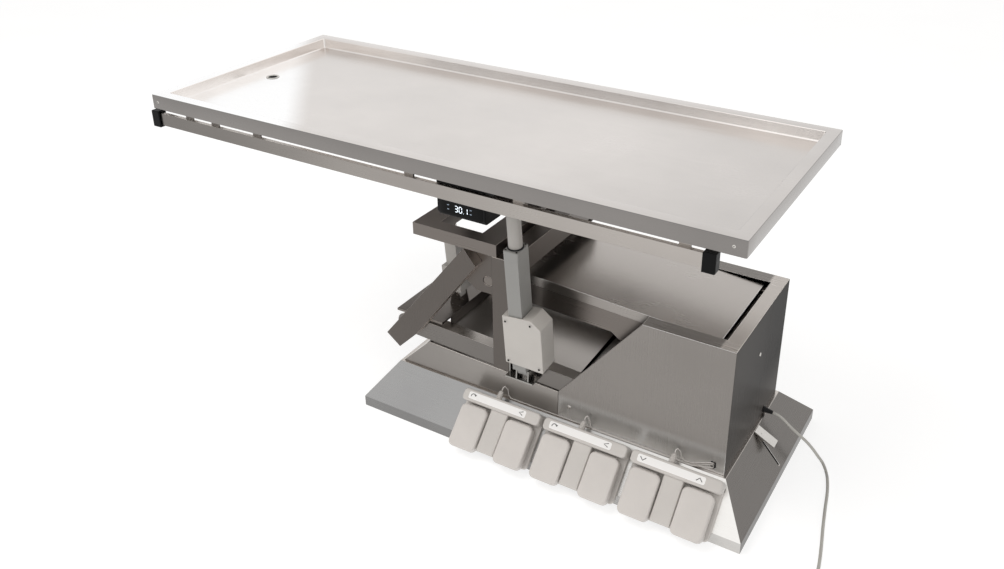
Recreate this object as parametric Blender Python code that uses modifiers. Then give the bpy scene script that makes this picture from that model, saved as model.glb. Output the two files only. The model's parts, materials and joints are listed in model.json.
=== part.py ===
"""Operating table on a parallelogram lift, with two tilt cylinders and foot pedals.

Metres, +Z up.  Every piece is drawn in the pedestal's own frame: x = 0 and y = 0 are under the
middle of the skirt, the pedals are on the -Y side and the housing is on the +X side.  One root
empty then moves the whole table, so that the world origin lies on the floor under the middle of
its outline.
"""
import bpy
import bmesh
from math import atan2, ceil, cos, hypot, pi, radians, sin
from mathutils import Matrix, Vector

NAME = "operating_table"
FIT = 0.0003                  # gap between pieces that touch
TURN = 0.0006                 # gap round a pin that turns
ROUND_SIDES = 24
SHEET = 0.0025

# Tabletop
TABLE_LEFT = -0.9745
TABLE_LENGTH = 1.400
TABLE_WIDTH = 0.571
TABLE_TOP = 0.690
RIM_HEIGHT = 0.033
RIM_BAND = 0.0274
RIM_RETURN = 0.014
TRAY_DEPTH = 0.025
TRAY_TAPER = 0.002
TRAY_SHEET = 0.0015
DRAIN_FROM_LEFT = 0.0895
DRAIN_FLANGE_R = 0.0155
DRAIN_HOLE_R = 0.0130
DRAIN_PIPE = 0.035

# Side rails under the tabletop
RAIL_THICK = 0.010
RAIL_HIGH = 0.029
RAIL_DROP = 0.009
RAIL_SHORT = 0.055
RAIL_LENGTH = TABLE_LENGTH - RAIL_SHORT
RAIL_INSET = 0.0005
RAIL_OUT = TABLE_WIDTH / 2 - RAIL_INSET
CAP_LONG = 0.024
CAP_DEEP = 0.022
CAP_PROUD = 0.005
BRACKET_WIDE = 0.022
BRACKET_PLATE = 0.003
BRACKET_FOOT = 0.020
LAST_BRACKET = 0.0555
BRACKETS_X = (-0.870, -0.790, -0.665, -0.261, -0.012, TABLE_LEFT + RAIL_LENGTH - LAST_BRACKET)

# Frame under the tray
BEAM_FROM_SIDE = 0.1355
BEAM_Y = TABLE_WIDTH / 2 - BEAM_FROM_SIDE
BEAM_WIDE = 0.040
BEAM_HIGH = 0.020
BEAM_END_SPACE = 0.060
END_CROSS_SPACE = 0.150
CROSS_INSET = 0.001

# Display box
DISPLAY_X = (-0.213, -0.100)
DISPLAY_SETBACK = 0.0315
DISPLAY_FRONT = TABLE_WIDTH / 2 - DISPLAY_SETBACK
DISPLAY_DEEP = 0.056
DISPLAY_DROP = 0.124
DISPLAY_LOW = TABLE_TOP - DISPLAY_DROP
DISPLAY_LEAN = 0.012
DISPLAY_CHAMFER = (0.006, 0.010)

# Skirt and foot
BASE_HALF_LONG = 0.459
BASE_HALF_WIDE = 0.241
LIP_HIGH = 0.026
SKIRT_TOP = 0.1006
LEDGE = 0.006
LEDGE_IN = 0.010
PLATE_LOW = 0.010
PLATE_THICK = 0.006
PLATE_TOP = PLATE_LOW + PLATE_THICK
FOOT_GAP = 0.0005
FOOT_R = 0.020
FOOT_INSET = 0.060

# Plinth and housing on the skirt
WALL_OUT = 0.160
PLINTH_LEFT = -0.400
PLINTH_TOP_LEFT = (-0.325, 0.175)
HOUSING_LEFT = 0.012
HOUSING_RIGHT = 0.388
HOUSING_TOP = 0.390
PLINTH_TOP_RIGHT = 0.162
DIAGONAL_END = 0.196
FLANGE_Y = 0.126
FLANGE_X = 0.3575
DECK_DROP = 0.018
LEAD_SLOT = (0.364, 0.118)
LEAD_SLOT_SIZE = (0.010, 0.015)
MAINS_EXIT_Y = 0.074
MAINS_EXIT_Z = 0.110
MAINS_HOLE_R = 0.0075

# Parallelogram arms
ARM_RIGHT = (0.350, 0.355)
ARM_VECTOR = (-0.510, 0.027)
LOWER_RIGHT = (0.120, 0.1775)
PIN_R = 0.011
CHANNEL_Y = (0.126, 0.156)
CHANNEL_HIGH = 0.046
SIDE_PLATE_Y = (0.1167, 0.1217)
COVER_HALF = 0.124
COVER_SHEET = 0.002
COVER_LIP = 0.022
COVER_RISE = 0.0265
COVER_FROM_LEFT = 0.0125
COVER_FROM_RIGHT = 0.005
TOWER_Y = (0.108, 0.1155)
SIDE_DEEP = 0.069
LIFT_LUG = (0.160, 0.303)
LIFT_TUBE_R = 0.014

# Lift cylinder inside the housing
LIFT_FOOT = (0.345, 0.085)
LIFT_BODY_R = 0.026
LIFT_BODY_LONG = 0.205
LIFT_BODY_START = 0.022
LIFT_ROD_R = 0.011
LIFT_BORE_START = 0.0352
LIFT_NECK = (0.009, 0.013)
LIFT_MOTOR_HALF = 0.030
LIFT_MOTOR_OUT = 0.046
LIFT_MOTOR_SPAN = (0.030, 0.110)
LIFT_OPEN_SPACE = 0.0060
LIFT_RING_WALL = 0.008
EAR_THICK = 0.006
EYE_HALF = 0.012
EYE_R = 0.018
SMALL_PIN_R = 0.006

# Carrier on the arms
STRUT_Y = (0.1605, 0.187)
STRUT_OUTLINE = ((-0.423, 0.184), (-0.388, 0.157), (-0.339, 0.206), (-0.173, 0.426), (-0.2015, 0.4612))
CHEEK_Y = (0.1542, 0.1602)
CHEEK_OUTLINE = ((-0.232, 0.385), (-0.190, 0.352), (-0.130, 0.352), (-0.064, 0.425), (-0.064, 0.4597),
                 (-0.205, 0.4597))
CROSS_X = (-0.410, -0.285)
CROSS_Z = (0.2335, 0.2385)
CROSS_FLANGE = 0.022
HEAD_X = (-0.098, -0.064)
HEAD_Z = (0.436, 0.486)

# Tilt frame, hinged across the head beam
TILT_PIVOT = (-0.109, 0.470)
TILT_PIN_R = 0.007
KNUCKLE_R = 0.0105
RING_X = (-0.330, -0.1202)
RING_Z = (0.462, 0.490)
RING_RAIL_Y = (0.154, 0.187)
RING_LEFT_BEAM = 0.050
RING_RIGHT_BEAM = 0.054
KNUCKLE_Y = 0.135
KNUCKLE_WIDE = 0.018
POST_X = (-0.133, -0.093)
POST_LOW = 0.190
TABLE_AXIS_DROP = 0.115
TABLE_AXIS_Z = TABLE_TOP - TABLE_AXIS_DROP
PEDESTALS_X = (-0.305, -0.147)
PEDESTAL_THICK = 0.012
PEDESTAL_HALF = 0.030
TABLE_EAR = 0.006
TABLE_EAR_HALF = 0.024

# Side cylinder, in front of the arms, and end cylinder, behind the strut
SIDE_X = -0.052
SIDE_FOOT = (-0.190, 0.213)
SIDE_TOP_INSET = 0.0535
SIDE_TOP_DROP = 0.072
SIDE_TOP = (SIDE_TOP_INSET - TABLE_WIDTH / 2, TABLE_TOP - SIDE_TOP_DROP)
SIDE_TUBE = (0.032, 0.041)
SIDE_TUBE_TOP = 0.297
SIDE_ROD_R = 0.0143
SIDE_ROD_START = 0.116
SIDE_BORE_START = 0.058
SIDE_OPEN_SPACE = 0.005
BODY_START = 0.013
FOOT_EYE_R = 0.010
NECK = (0.007, 0.008)
EYE_TOP_R = 0.012
MOTOR_LEFT = 0.030
MOTOR_RIGHT = 0.060
MOTOR_FRONT = 0.024
MOTOR_BACK = 0.026
MOTOR_SPAN = (0.030, 0.150)
MOTOR_CHAMFER = 0.022
END_Y = -0.065
END_FOOT = (-0.303, 0.262)
END_TOP = (-0.318, 0.446)
END_BODY_TOP = 0.150
END_TUBE = 0.030
END_ROD_R = 0.011
END_ROD_START = 0.034
END_BORE_START = 0.030
END_MOTOR_LEFT = 0.024
END_MOTOR_RIGHT = 0.034
END_MOTOR_HALF = 0.023
END_MOTOR_SPAN = (0.016, 0.078)
THIN_EAR = 0.003
CLEVIS_GAP = 0.0006

# Foot pedals on the front slope
PEDAL_UNITS_X = (-0.202, 0.002, 0.206)
PEDAL_LONG = 0.194
PEDAL_SPAN = (-0.022, 0.098)
PEDAL_BASE = 0.006
PEDAL_BAR = 0.028
PEDAL_TOP = 0.034
PEDAL_WEB = 0.034
PAD_LONG = 0.066
PAD_SPAN = (-0.030, 0.066)
PAD_LOW = 0.0155
PAD_HIGH = 0.0345
PAD_CORNER = 0.013
PAD_FROM_END = 0.007
PAD_HINGE_R = 0.0035
PAD_SEAT_HALF = 0.0055
PEDAL_CORNER = 0.010
BAR_CORNER = 0.012
BAR_INSET = 0.001
WEB_DROP = 0.007
RELIEF_LONG = 0.020
RELIEF_R = (0.0042, 0.0024)
LEAD_SHARE = 0.42
LEAD_R = 0.0014
LEAD_STACK = 0.0045

# Foot lever in the right slope
LEVER_Y = 0.008
LEVER_PIVOT = (0.372, 0.052)
LEVER_PLATE = 0.003
LEVER_PIN_R = 0.004
LEVER_STEM = ((0.040, 0.026), (0.048, 0.038), (0.036, 0.046), (0.023, 0.0335))
LEVER_PAD = (0.050, 0.026)
LEVER_PAD_AT = (0.032, 0.004, 0.0455)
LEVER_PAD_ANGLE = 28
LEVER_SLOT = 0.005

# Mains lead
MAINS_R = 0.00325
MAINS_STEP = 0.016
MAINS_ROUTE = (
    (0.4098, 0.0740, 0.1082), (0.4158, 0.0743, 0.1074), (0.4240, 0.0756, 0.1038), (0.4340, 0.0775, 0.0960),
    (0.4500, 0.0810, 0.0805), (0.4660, 0.0840, 0.0675), (0.4850, 0.0890, 0.0510), (0.4990, 0.0940, 0.0340),
    (0.5110, 0.0975, 0.0175), (0.5225, 0.0960, 0.0065), (0.5320, 0.0840, 0.0036), (0.5395, 0.0690, 0.0036),
    (0.5470, 0.0500, 0.0036), (0.5570, 0.0130, 0.0036), (0.5670, -0.0400, 0.0036), (0.5780, -0.0950, 0.0036),
    (0.5900, -0.1500, 0.0036), (0.6000, -0.2050, 0.0036), (0.6060, -0.2620, 0.0036),
    (0.6060, -0.3028, 0.0036))
COIL_CENTRE = (0.568, -0.338)
COIL_MEAN_R = 0.036
COIL_HALF = 0.0133
COIL_HIGH = 0.0200
PLUG_LONG = 0.040
PLUG_R = 0.013
PLUG_PIN_R = 0.0024
PLUG_PIN_LONG = 0.019
PLUG_PIN_SPACE = 0.0095
MAINS_RELIEF_R = (0.0068, 0.0042)
FEW_SIDES = 16
PIN_SIDES = 12

ROOT_X = -(TABLE_LEFT - CAP_PROUD + BASE_HALF_LONG) / 2

COLOURS = {
    "steel": ((0.62, 0.60, 0.57), 0.30, 1.0), "dark_steel": ((0.40, 0.38, 0.36), 0.35, 1.0),
    "bright": ((0.78, 0.76, 0.73), 0.20, 1.0), "grey_plastic": ((0.70, 0.68, 0.65), 0.50, 0.0),
    "pad_plastic": ((0.76, 0.74, 0.71), 0.45, 0.0), "black": ((0.03, 0.03, 0.03), 0.35, 0.0),
    "pale_tube": ((0.66, 0.66, 0.65), 0.40, 0.2), "cord": ((0.60, 0.60, 0.59), 0.55, 0.0),
}


def arm_left(right):
    """The far pivot of an arm whose near pivot is given."""
    return (right[0] + ARM_VECTOR[0], right[1] + ARM_VECTOR[1])


UPPER_LEFT = arm_left(ARM_RIGHT)
LOWER_LEFT = arm_left(LOWER_RIGHT)


def pivots():
    """Each body's origin: a point of the joint that carries it."""
    places = {
        "base": (0, 0, 0), "upper_arm": (ARM_RIGHT[0], 0, ARM_RIGHT[1]),
        "lower_arm": (LOWER_RIGHT[0], 0, LOWER_RIGHT[1]), "carrier": (UPPER_LEFT[0], 0, UPPER_LEFT[1]),
        "tilt_frame": (TILT_PIVOT[0], 0, TILT_PIVOT[1]), "tabletop": (PEDESTALS_X[0], 0, TABLE_AXIS_Z),
        "lift_cylinder": (LIFT_FOOT[0], 0, LIFT_FOOT[1]), "lift_rod": (LIFT_FOOT[0], 0, LIFT_FOOT[1]),
        "end_cylinder": (END_FOOT[0], END_Y, END_FOOT[1]), "end_rod": (END_FOOT[0], END_Y, END_FOOT[1]),
        "side_cylinder": (SIDE_X, *SIDE_FOOT), "side_rod": (SIDE_X, *SIDE_FOOT),
        "foot_lever": (LEVER_PIVOT[0], LEVER_Y, LEVER_PIVOT[1]),
    }
    for number, (middle, side) in enumerate(pad_places(), 1):
        places[f"pad_{number}"] = slope_point(middle, PAD_SPAN[1], PAD_LOW)
    return places


def slope_axes():
    """Unit vectors up the front slope and out of it."""
    run, rise = BASE_HALF_WIDE - WALL_OUT - LEDGE, SKIRT_TOP - LIP_HIGH
    length = hypot(run, rise)
    up = Vector((0, run / length, rise / length))
    return up, Vector((0, -up.z, up.y)), length


def slope_point(x, along, height):
    """A point over the front slope: x, way up from the lip's edge, height over the surface."""
    up, out, _ = slope_axes()
    point = Vector((x, -BASE_HALF_WIDE, LIP_HIGH)) + up * along + out * height
    return tuple(point)


def pad_places():
    """The middle of each pad along x, and the side of its unit that it is on."""
    places = []
    for left in PEDAL_UNITS_X:
        places.append((left + PAD_FROM_END + PAD_LONG / 2, -1))
        places.append((left + PEDAL_LONG - PAD_FROM_END - PAD_LONG / 2, 1))
    return places


class Table:
    """Holds the collections, the empties and the materials while the table is built."""

    def __init__(self):
        for item in list(bpy.data.objects):
            bpy.data.objects.remove(item)
        self.parts = self.collection(NAME)
        self.cutters = self.collection("cutters")
        self.root = bpy.data.objects.new("table_root", None)
        self.parts.objects.link(self.root)
        self.root.location = (ROOT_X, 0, 0)
        self.empties = {}
        for body, place in pivots().items():
            empty = bpy.data.objects.new(f"{body}_pivot", None)
            self.parts.objects.link(empty)
            empty.parent = self.root
            empty.location = place
            self.empties[body] = empty
        self.materials = {}
        for name, (colour, rough, metal) in COLOURS.items():
            self.materials[name] = (colour, rough, metal)

    @staticmethod
    def collection(name):
        made = bpy.data.collections.new(name)
        bpy.context.scene.collection.children.link(made)
        return made

    def finish(self, item, body, look):
        """Hangs an object on its body's empty and gives it a material of its own."""
        self.parts.objects.link(item)
        empty = self.empties[body]
        item.parent = empty
        item.location = Vector(item.location) - empty.location
        colour, rough, metal = self.materials[look]
        material = bpy.data.materials.new(f"{item.name}_{look}")
        material.use_nodes = True
        shader = material.node_tree.nodes["Principled BSDF"]
        shader.inputs["Base Color"].default_value = (*colour, 1)
        shader.inputs["Roughness"].default_value = rough
        shader.inputs["Metallic"].default_value = metal
        item.data.materials.clear()
        item.data.materials.append(material)
        return item

    def cutter(self, item, like):
        """Keeps an object as a cutter, hung on the same empty as the piece that it shapes."""
        self.cutters.objects.link(item)
        item.parent = like.parent
        item.location = Vector(item.location) - like.parent.location
        item.hide_render = True
        item.display_type = "WIRE"
        return item

    def combine(self, piece, others, way):
        """Adds or cuts the other shapes, one exact Boolean each."""
        for number, other in enumerate(others):
            self.cutter(other, piece)
            step = piece.modifiers.new(f"{way.lower()}_{number}", "BOOLEAN")
            step.operation = way
            step.solver = "EXACT"
            step.object = other
        return piece


def from_bmesh(name, bm):
    """A new object from a bmesh, with faces out."""
    bmesh.ops.recalc_face_normals(bm, faces=bm.faces)
    mesh = bpy.data.meshes.new(name)
    bm.to_mesh(mesh)
    bm.free()
    return bpy.data.objects.new(name, mesh)


def add_box(bm, low, high):
    """Adds a box between two corners."""
    middle = [(a + b) / 2 for a, b in zip(low, high)]
    size = [b - a for a, b in zip(low, high)]
    bmesh.ops.create_cube(bm, size=1, matrix=Matrix.Translation(middle) @ Matrix.Diagonal((*size, 1)))


def boxes(name, spans):
    """One object of separate boxes, each given by its low and high corner."""
    bm = bmesh.new()
    for low, high in spans:
        add_box(bm, low, high)
    return from_bmesh(name, bm)


def add_rod(bm, start, end, radius, far_radius=None, sides=ROUND_SIDES):
    """Adds a round bar or cone from start to end."""
    start, end = Vector(start), Vector(end)
    line = end - start
    turn = line.to_track_quat("Z", "Y").to_matrix().to_4x4()
    bmesh.ops.create_cone(bm, cap_ends=True, segments=sides, radius1=radius,
                          radius2=radius if far_radius is None else far_radius, depth=line.length,
                          matrix=Matrix.Translation((start + end) / 2) @ turn)


def rods(name, spans, sides=ROUND_SIDES):
    """One object of separate round bars, each (start, end, radius)."""
    bm = bmesh.new()
    for start, end, radius in spans:
        add_rod(bm, start, end, radius, sides=sides)
    return smooth(from_bmesh(name, bm))


def smooth(item):
    """Shades a round piece smooth, with its edges sharp."""
    item.data.shade_smooth()
    item.data.set_sharp_from_angle(angle=radians(35))
    return item


def circle(centre, radius, sides=ROUND_SIDES):
    """Points round a circle."""
    return [(centre[0] + radius * cos(2 * pi * k / sides), centre[1] + radius * sin(2 * pi * k / sides))
            for k in range(sides)]


def stadium(start, end, radius, sides=ROUND_SIDES):
    """An outline with round ends about two points."""
    turn = atan2(end[1] - start[1], end[0] - start[0])
    points = []
    for centre, first in ((end, turn - pi / 2), (start, turn + pi / 2)):
        for k in range(sides // 2 + 1):
            angle = first + pi * k / (sides // 2)
            points.append((centre[0] + radius * cos(angle), centre[1] + radius * sin(angle)))
    return points


def rounded_rectangle(low, high, radius, steps=4):
    """A rectangle with quarter-round corners."""
    points = []
    corners = ((high[0] - radius, high[1] - radius, 0), (low[0] + radius, high[1] - radius, pi / 2),
               (low[0] + radius, low[1] + radius, pi), (high[0] - radius, low[1] + radius, 3 * pi / 2))
    for x, y, first in corners:
        for k in range(steps + 1):
            angle = first + pi / 2 * k / steps
            points.append((x + radius * cos(angle), y + radius * sin(angle)))
    return points


def outline_curve(name, outlines, thickness):
    """A flat filled curve; outlines inside the first one are holes."""
    curve = bpy.data.curves.new(name, "CURVE")
    curve.dimensions = "2D"
    curve.fill_mode = "BOTH"
    curve.extrude = thickness / 2
    for points in outlines:
        spline = curve.splines.new("POLY")
        spline.points.add(len(points) - 1)
        for point, (x, y) in zip(spline.points, points):
            point.co = (x, y, 0, 1)
        spline.use_cyclic_u = True
    return bpy.data.objects.new(name, curve)


def as_mesh(item):
    """Turns a curve object into a mesh object with its place in its mesh."""
    bpy.context.scene.collection.objects.link(item)
    bpy.context.view_layer.update()
    ready = item.evaluated_get(bpy.context.evaluated_depsgraph_get())
    mesh = bpy.data.meshes.new_from_object(ready)
    mesh.transform(item.matrix_world)
    name = item.name
    bpy.data.objects.remove(item)
    bm = bmesh.new()
    bm.from_mesh(mesh)
    bpy.data.meshes.remove(mesh)
    bmesh.ops.remove_doubles(bm, verts=bm.verts, dist=0.00005)
    return from_bmesh(name, bm)


def plate_xz(name, outlines, y_low, y_high):
    """A plate that lies in the XZ plane between two values of y."""
    item = outline_curve(name, outlines, y_high - y_low)
    item.rotation_euler = (pi / 2, 0, 0)
    item.location = (0, (y_low + y_high) / 2, 0)
    return as_mesh(item)


def plate_yz(name, outlines, x_low, x_high):
    """A plate that lies in the YZ plane between two values of x."""
    item = outline_curve(name, outlines, x_high - x_low)
    item.rotation_euler = (pi / 2, 0, pi / 2)
    item.location = ((x_low + x_high) / 2, 0, 0)
    return as_mesh(item)


def both_sides(table, name, outlines, y_span, body, look):
    """The same XZ plate on both sides of the table, as two objects in one list."""
    low, high = y_span
    front = plate_xz(f"{name}_front", outlines, -high, -low)
    back = plate_xz(f"{name}_back", outlines, low, high)
    return table.finish(front, body, look), table.finish(back, body, look)


def ears_xz(outline, middle_y, gap, thick):
    """Two XZ ears on both sides of an eye, as cutters or joined shapes."""
    return [plate_xz("ear", [outline], low, low + thick) for low in (middle_y - gap - thick, middle_y + gap)]


def ears_yz(outline, middle_x, gap, thick):
    """Two YZ ears on both sides of an eye."""
    return [plate_yz("ear", [outline], low, low + thick) for low in (middle_x - gap - thick, middle_x + gap)]


def ring_shell(name, rings, thickness, cap=False):
    """A sheet through rectangular rings (x low, x high, half width, z), thickened inwards."""
    bm = bmesh.new()
    loops = []
    for left, right, half, z in rings:
        corners = ((left, -half, z), (right, -half, z), (right, half, z), (left, half, z))
        loops.append([bm.verts.new(corner) for corner in corners])
    for below, above in zip(loops, loops[1:]):
        for k in range(4):
            following = (k + 1) % 4
            bm.faces.new((below[k], below[following], above[following], above[k]))
    if cap:
        bm.faces.new(loops[-1])
    mesh = bpy.data.meshes.new(name)
    bm.to_mesh(mesh)
    bm.free()
    item = bpy.data.objects.new(name, mesh)
    sheet = item.modifiers.new("sheet", "SOLIDIFY")
    sheet.thickness = thickness
    sheet.offset = -1
    sheet.use_even_offset = True
    return item


def turned(name, profile, centre):
    """A piece turned about a vertical axis: profile points (radius, z), outer side top to bottom."""
    mesh = bpy.data.meshes.new(name)
    points = [(r, 0, z) for r, z in profile]
    mesh.from_pydata(points, [(k, k + 1) for k in range(len(points) - 1)], [])
    item = bpy.data.objects.new(name, mesh)
    item.location = centre
    turn = item.modifiers.new("turn", "SCREW")
    turn.steps = ROUND_SIDES
    turn.render_steps = ROUND_SIDES
    turn.use_merge_vertices = True
    turn.merge_threshold = 0.00005
    turn.use_smooth_shade = False
    return item


def smooth_route(points, step):
    """Points about a step apart on a smooth curve through the route's own points."""
    route = [Vector(p) for p in points]
    route = [route[0] * 2 - route[1]] + route + [route[-1] * 2 - route[-2]]
    result = [route[1]]
    for a, b, c, d in zip(route, route[1:], route[2:], route[3:]):
        pieces = max(1, ceil((c - b).length / step))
        for k in range(1, pieces + 1):
            t = k / pieces
            result.append(0.5 * (2 * b + (c - a) * t + (2 * a - 5 * b + 4 * c - d) * t ** 2
                                 + (3 * b - a - 3 * c + d) * t ** 3))
    return result


def tube(name, points, radius):
    """A round cord through points."""
    curve = bpy.data.curves.new(name, "CURVE")
    curve.dimensions = "3D"
    curve.bevel_depth = radius
    curve.bevel_resolution = 2
    curve.use_fill_caps = True
    spline = curve.splines.new("POLY")
    spline.points.add(len(points) - 1)
    for point, place in zip(spline.points, points):
        point.co = (*place, 1)
    return bpy.data.objects.new(name, curve)


def build_base(table):
    """The skirt, its floor plate and feet, the plinth and the housing."""
    skirt = ring_shell("base_skirt", [
        (-BASE_HALF_LONG, BASE_HALF_LONG, BASE_HALF_WIDE, FOOT_GAP),
        (-BASE_HALF_LONG, BASE_HALF_LONG, BASE_HALF_WIDE, LIP_HIGH),
        (PLINTH_LEFT - LEDGE, HOUSING_RIGHT + LEDGE, WALL_OUT + LEDGE, SKIRT_TOP),
        (PLINTH_LEFT + LEDGE_IN, HOUSING_RIGHT - LEDGE_IN, WALL_OUT - LEDGE_IN, SKIRT_TOP)], SHEET)
    table.finish(skirt, "base", "steel")
    slot_low = (HOUSING_RIGHT + LEDGE - 0.006, LEVER_Y - LEVER_SLOT / 2, LIP_HIGH + 0.006)
    slot_high = (BASE_HALF_LONG + 0.004, LEVER_Y + LEVER_SLOT / 2, SKIRT_TOP - 0.004)
    table.combine(skirt, [boxes("lever_slot_cut", [(slot_low, slot_high)])], "DIFFERENCE")

    inner = SHEET + FIT
    plate = boxes("base_plate", [((-BASE_HALF_LONG + inner, -BASE_HALF_WIDE + inner, PLATE_LOW),
                                  (BASE_HALF_LONG - inner, BASE_HALF_WIDE - inner, PLATE_TOP))])
    table.finish(plate, "base", "dark_steel")
    feet = [rods("foot", [((x, y, 0), (x, y, PLATE_LOW + PLATE_THICK / 2), FOOT_R)])
            for x in (-BASE_HALF_LONG + FOOT_INSET, BASE_HALF_LONG - FOOT_INSET)
            for y in (-BASE_HALF_WIDE + FOOT_INSET, BASE_HALF_WIDE - FOOT_INSET)]
    table.combine(plate, feet, "UNION")

    build_plinth(table)
    build_housing(table)


def plinth_top(x):
    """Height of the plinth wall's sloping top edge."""
    share = (x - PLINTH_TOP_LEFT[0]) / (HOUSING_LEFT - PLINTH_TOP_LEFT[0])
    return PLINTH_TOP_LEFT[1] + share * (PLINTH_TOP_RIGHT - PLINTH_TOP_LEFT[1])


def build_plinth(table):
    """Two side walls, a slanted left end and a deck let in between them, as one folded cover."""
    floor = SKIRT_TOP + FIT
    right = HOUSING_LEFT - FIT
    outer = [(PLINTH_LEFT, floor), (right, floor), (right, plinth_top(right)), PLINTH_TOP_LEFT]
    body = plate_xz("plinth_cover", [outer], -WALL_OUT, WALL_OUT)
    table.finish(body, "base", "steel")
    inside = WALL_OUT - SHEET
    slant = SHEET * 1.4
    left_deck = PLINTH_TOP_LEFT[0] - DECK_DROP
    past = right + 0.01
    above = [(left_deck + slant, plinth_top(left_deck) - DECK_DROP), (past, plinth_top(right) - DECK_DROP),
             (past, plinth_top(right) + 0.02), (PLINTH_TOP_LEFT[0] + slant, PLINTH_TOP_LEFT[1] + 0.02)]
    under = [(PLINTH_LEFT + slant + SHEET, floor - 0.01), (right + 0.01, floor - 0.01),
             (right + 0.01, plinth_top(right) - DECK_DROP - SHEET),
             (left_deck + slant, plinth_top(left_deck) - DECK_DROP - SHEET),
             (PLINTH_LEFT + slant + SHEET, floor + SHEET)]
    table.combine(body, [plate_xz("plinth_above_cut", [above], -inside, inside),
                         plate_xz("plinth_under_cut", [under], -inside, inside)], "DIFFERENCE")


def housing_outline(x_low, x_high, z_low, z_high):
    """The housing's side: a rectangle with its upper left corner cut off along the diagonal."""
    return [(x_low, z_low), (x_high, z_low), (x_high, z_high), (DIAGONAL_END, z_high),
            (x_low, PLINTH_TOP_RIGHT)]


def build_housing(table):
    """Front, back and end wall of folded sheet, with the flanges round its open top."""
    floor = SKIRT_TOP + FIT
    shell = plate_xz("housing_shell", [housing_outline(HOUSING_LEFT, HOUSING_RIGHT, floor, HOUSING_TOP)],
                     -WALL_OUT, WALL_OUT)
    table.finish(shell, "base", "steel")
    inside = WALL_OUT - SHEET
    past = 0.05
    room = [(HOUSING_LEFT - past, floor - past), (HOUSING_RIGHT - SHEET, floor - past),
            (HOUSING_RIGHT - SHEET, HOUSING_TOP - SHEET), (HOUSING_LEFT - past, HOUSING_TOP - SHEET)]
    mouth = boxes("housing_mouth_cut", [((HOUSING_LEFT - past, -FLANGE_Y, HOUSING_TOP - 3 * SHEET),
                                         (FLANGE_X, FLANGE_Y, HOUSING_TOP + past))])
    slot_x, slot_z = LEAD_SLOT
    wide, high = LEAD_SLOT_SIZE
    slot = boxes("lead_slot_cut", [((slot_x - wide / 2, -WALL_OUT - past, slot_z - high / 2),
                                    (slot_x + wide / 2, -inside + past / 2, slot_z + high / 2))])
    exit_hole = rods("mains_hole_cut", [((HOUSING_RIGHT - past, MAINS_EXIT_Y, MAINS_EXIT_Z),
                                         (HOUSING_RIGHT + past, MAINS_EXIT_Y, MAINS_EXIT_Z), MAINS_HOLE_R)])
    table.combine(shell, [plate_xz("housing_room_cut", [room], -inside, inside), mouth, slot, exit_hole],
                  "DIFFERENCE")


def build_towers(table):
    """The plates that carry both arms, with their shaft, and the foot of the lift cylinder."""
    low = PLATE_TOP + FIT
    px, pz = ARM_RIGHT
    left = LOWER_RIGHT[0] - 0.032
    outline = [(left, low), (px + 0.024, low), (px + 0.024, pz - 0.006), (px + 0.012, pz + 0.020),
               (px - 0.012, pz + 0.020), (px - 0.026, pz - 0.004),
               (LOWER_RIGHT[0] + 0.05, LOWER_RIGHT[1] + 0.03),
               (left + 0.01, LOWER_RIGHT[1] + 0.026), (left, LOWER_RIGHT[1] + 0.016)]
    hole = circle(LOWER_RIGHT, PIN_R + TURN)
    towers = plate_xz("pivot_towers", [outline, hole], *TOWER_Y)
    table.finish(towers, "base", "dark_steel")
    reach = SIDE_PLATE_Y[1]
    shaft = rods("upper_arm_shaft", [((px, -reach, pz), (px, reach, pz), PIN_R)])
    front = plate_xz("front_tower", [outline, hole], -TOWER_Y[1], -TOWER_Y[0])
    table.combine(towers, [front, shaft], "UNION")

    fx, fz = LIFT_FOOT
    ear = [(fx - 0.025, low), (fx + 0.014, low), (fx + 0.014, fz), (fx + 0.008, fz + 0.013),
           (fx - 0.008, fz + 0.013), (fx - 0.016, fz)]
    gap = EYE_HALF + CLEVIS_GAP
    reach = gap + EAR_THICK
    foot = boxes("lift_foot_bracket", [((fx - 0.025, -reach, low), (fx + 0.014, reach, low + EAR_THICK))])
    table.finish(foot, "base", "dark_steel")
    pin = rods("lift_foot_pin", [((fx, -reach - 0.002, fz), (fx, reach + 0.002, fz), SMALL_PIN_R)])
    table.combine(foot, [*ears_xz(ear, 0, gap, EAR_THICK), pin], "UNION")

    lx, lz = LEVER_PIVOT
    ear = [(lx - 0.012, low), (lx + 0.012, low), (lx + 0.006, lz + 0.007), (lx - 0.006, lz + 0.007)]
    gap = LEVER_PLATE / 2 + CLEVIS_GAP
    reach = gap + THIN_EAR
    foot = boxes("lever_bracket", [((lx - 0.012, LEVER_Y - reach, low),
                                    (lx + 0.012, LEVER_Y + reach, low + 0.004))])
    table.finish(foot, "base", "dark_steel")
    reach += 0.001
    pin = rods("lever_pin", [((lx, LEVER_Y - reach, lz), (lx, LEVER_Y + reach, lz), LEVER_PIN_R)], FEW_SIDES)
    table.combine(foot, [*ears_xz(ear, LEVER_Y, gap, THIN_EAR), pin], "UNION")


def arm_line(x, offset):
    """Height over the upper arm's pivot line at x."""
    return ARM_RIGHT[1] + (x - ARM_RIGHT[0]) * ARM_VECTOR[1] / ARM_VECTOR[0] + offset


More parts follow.
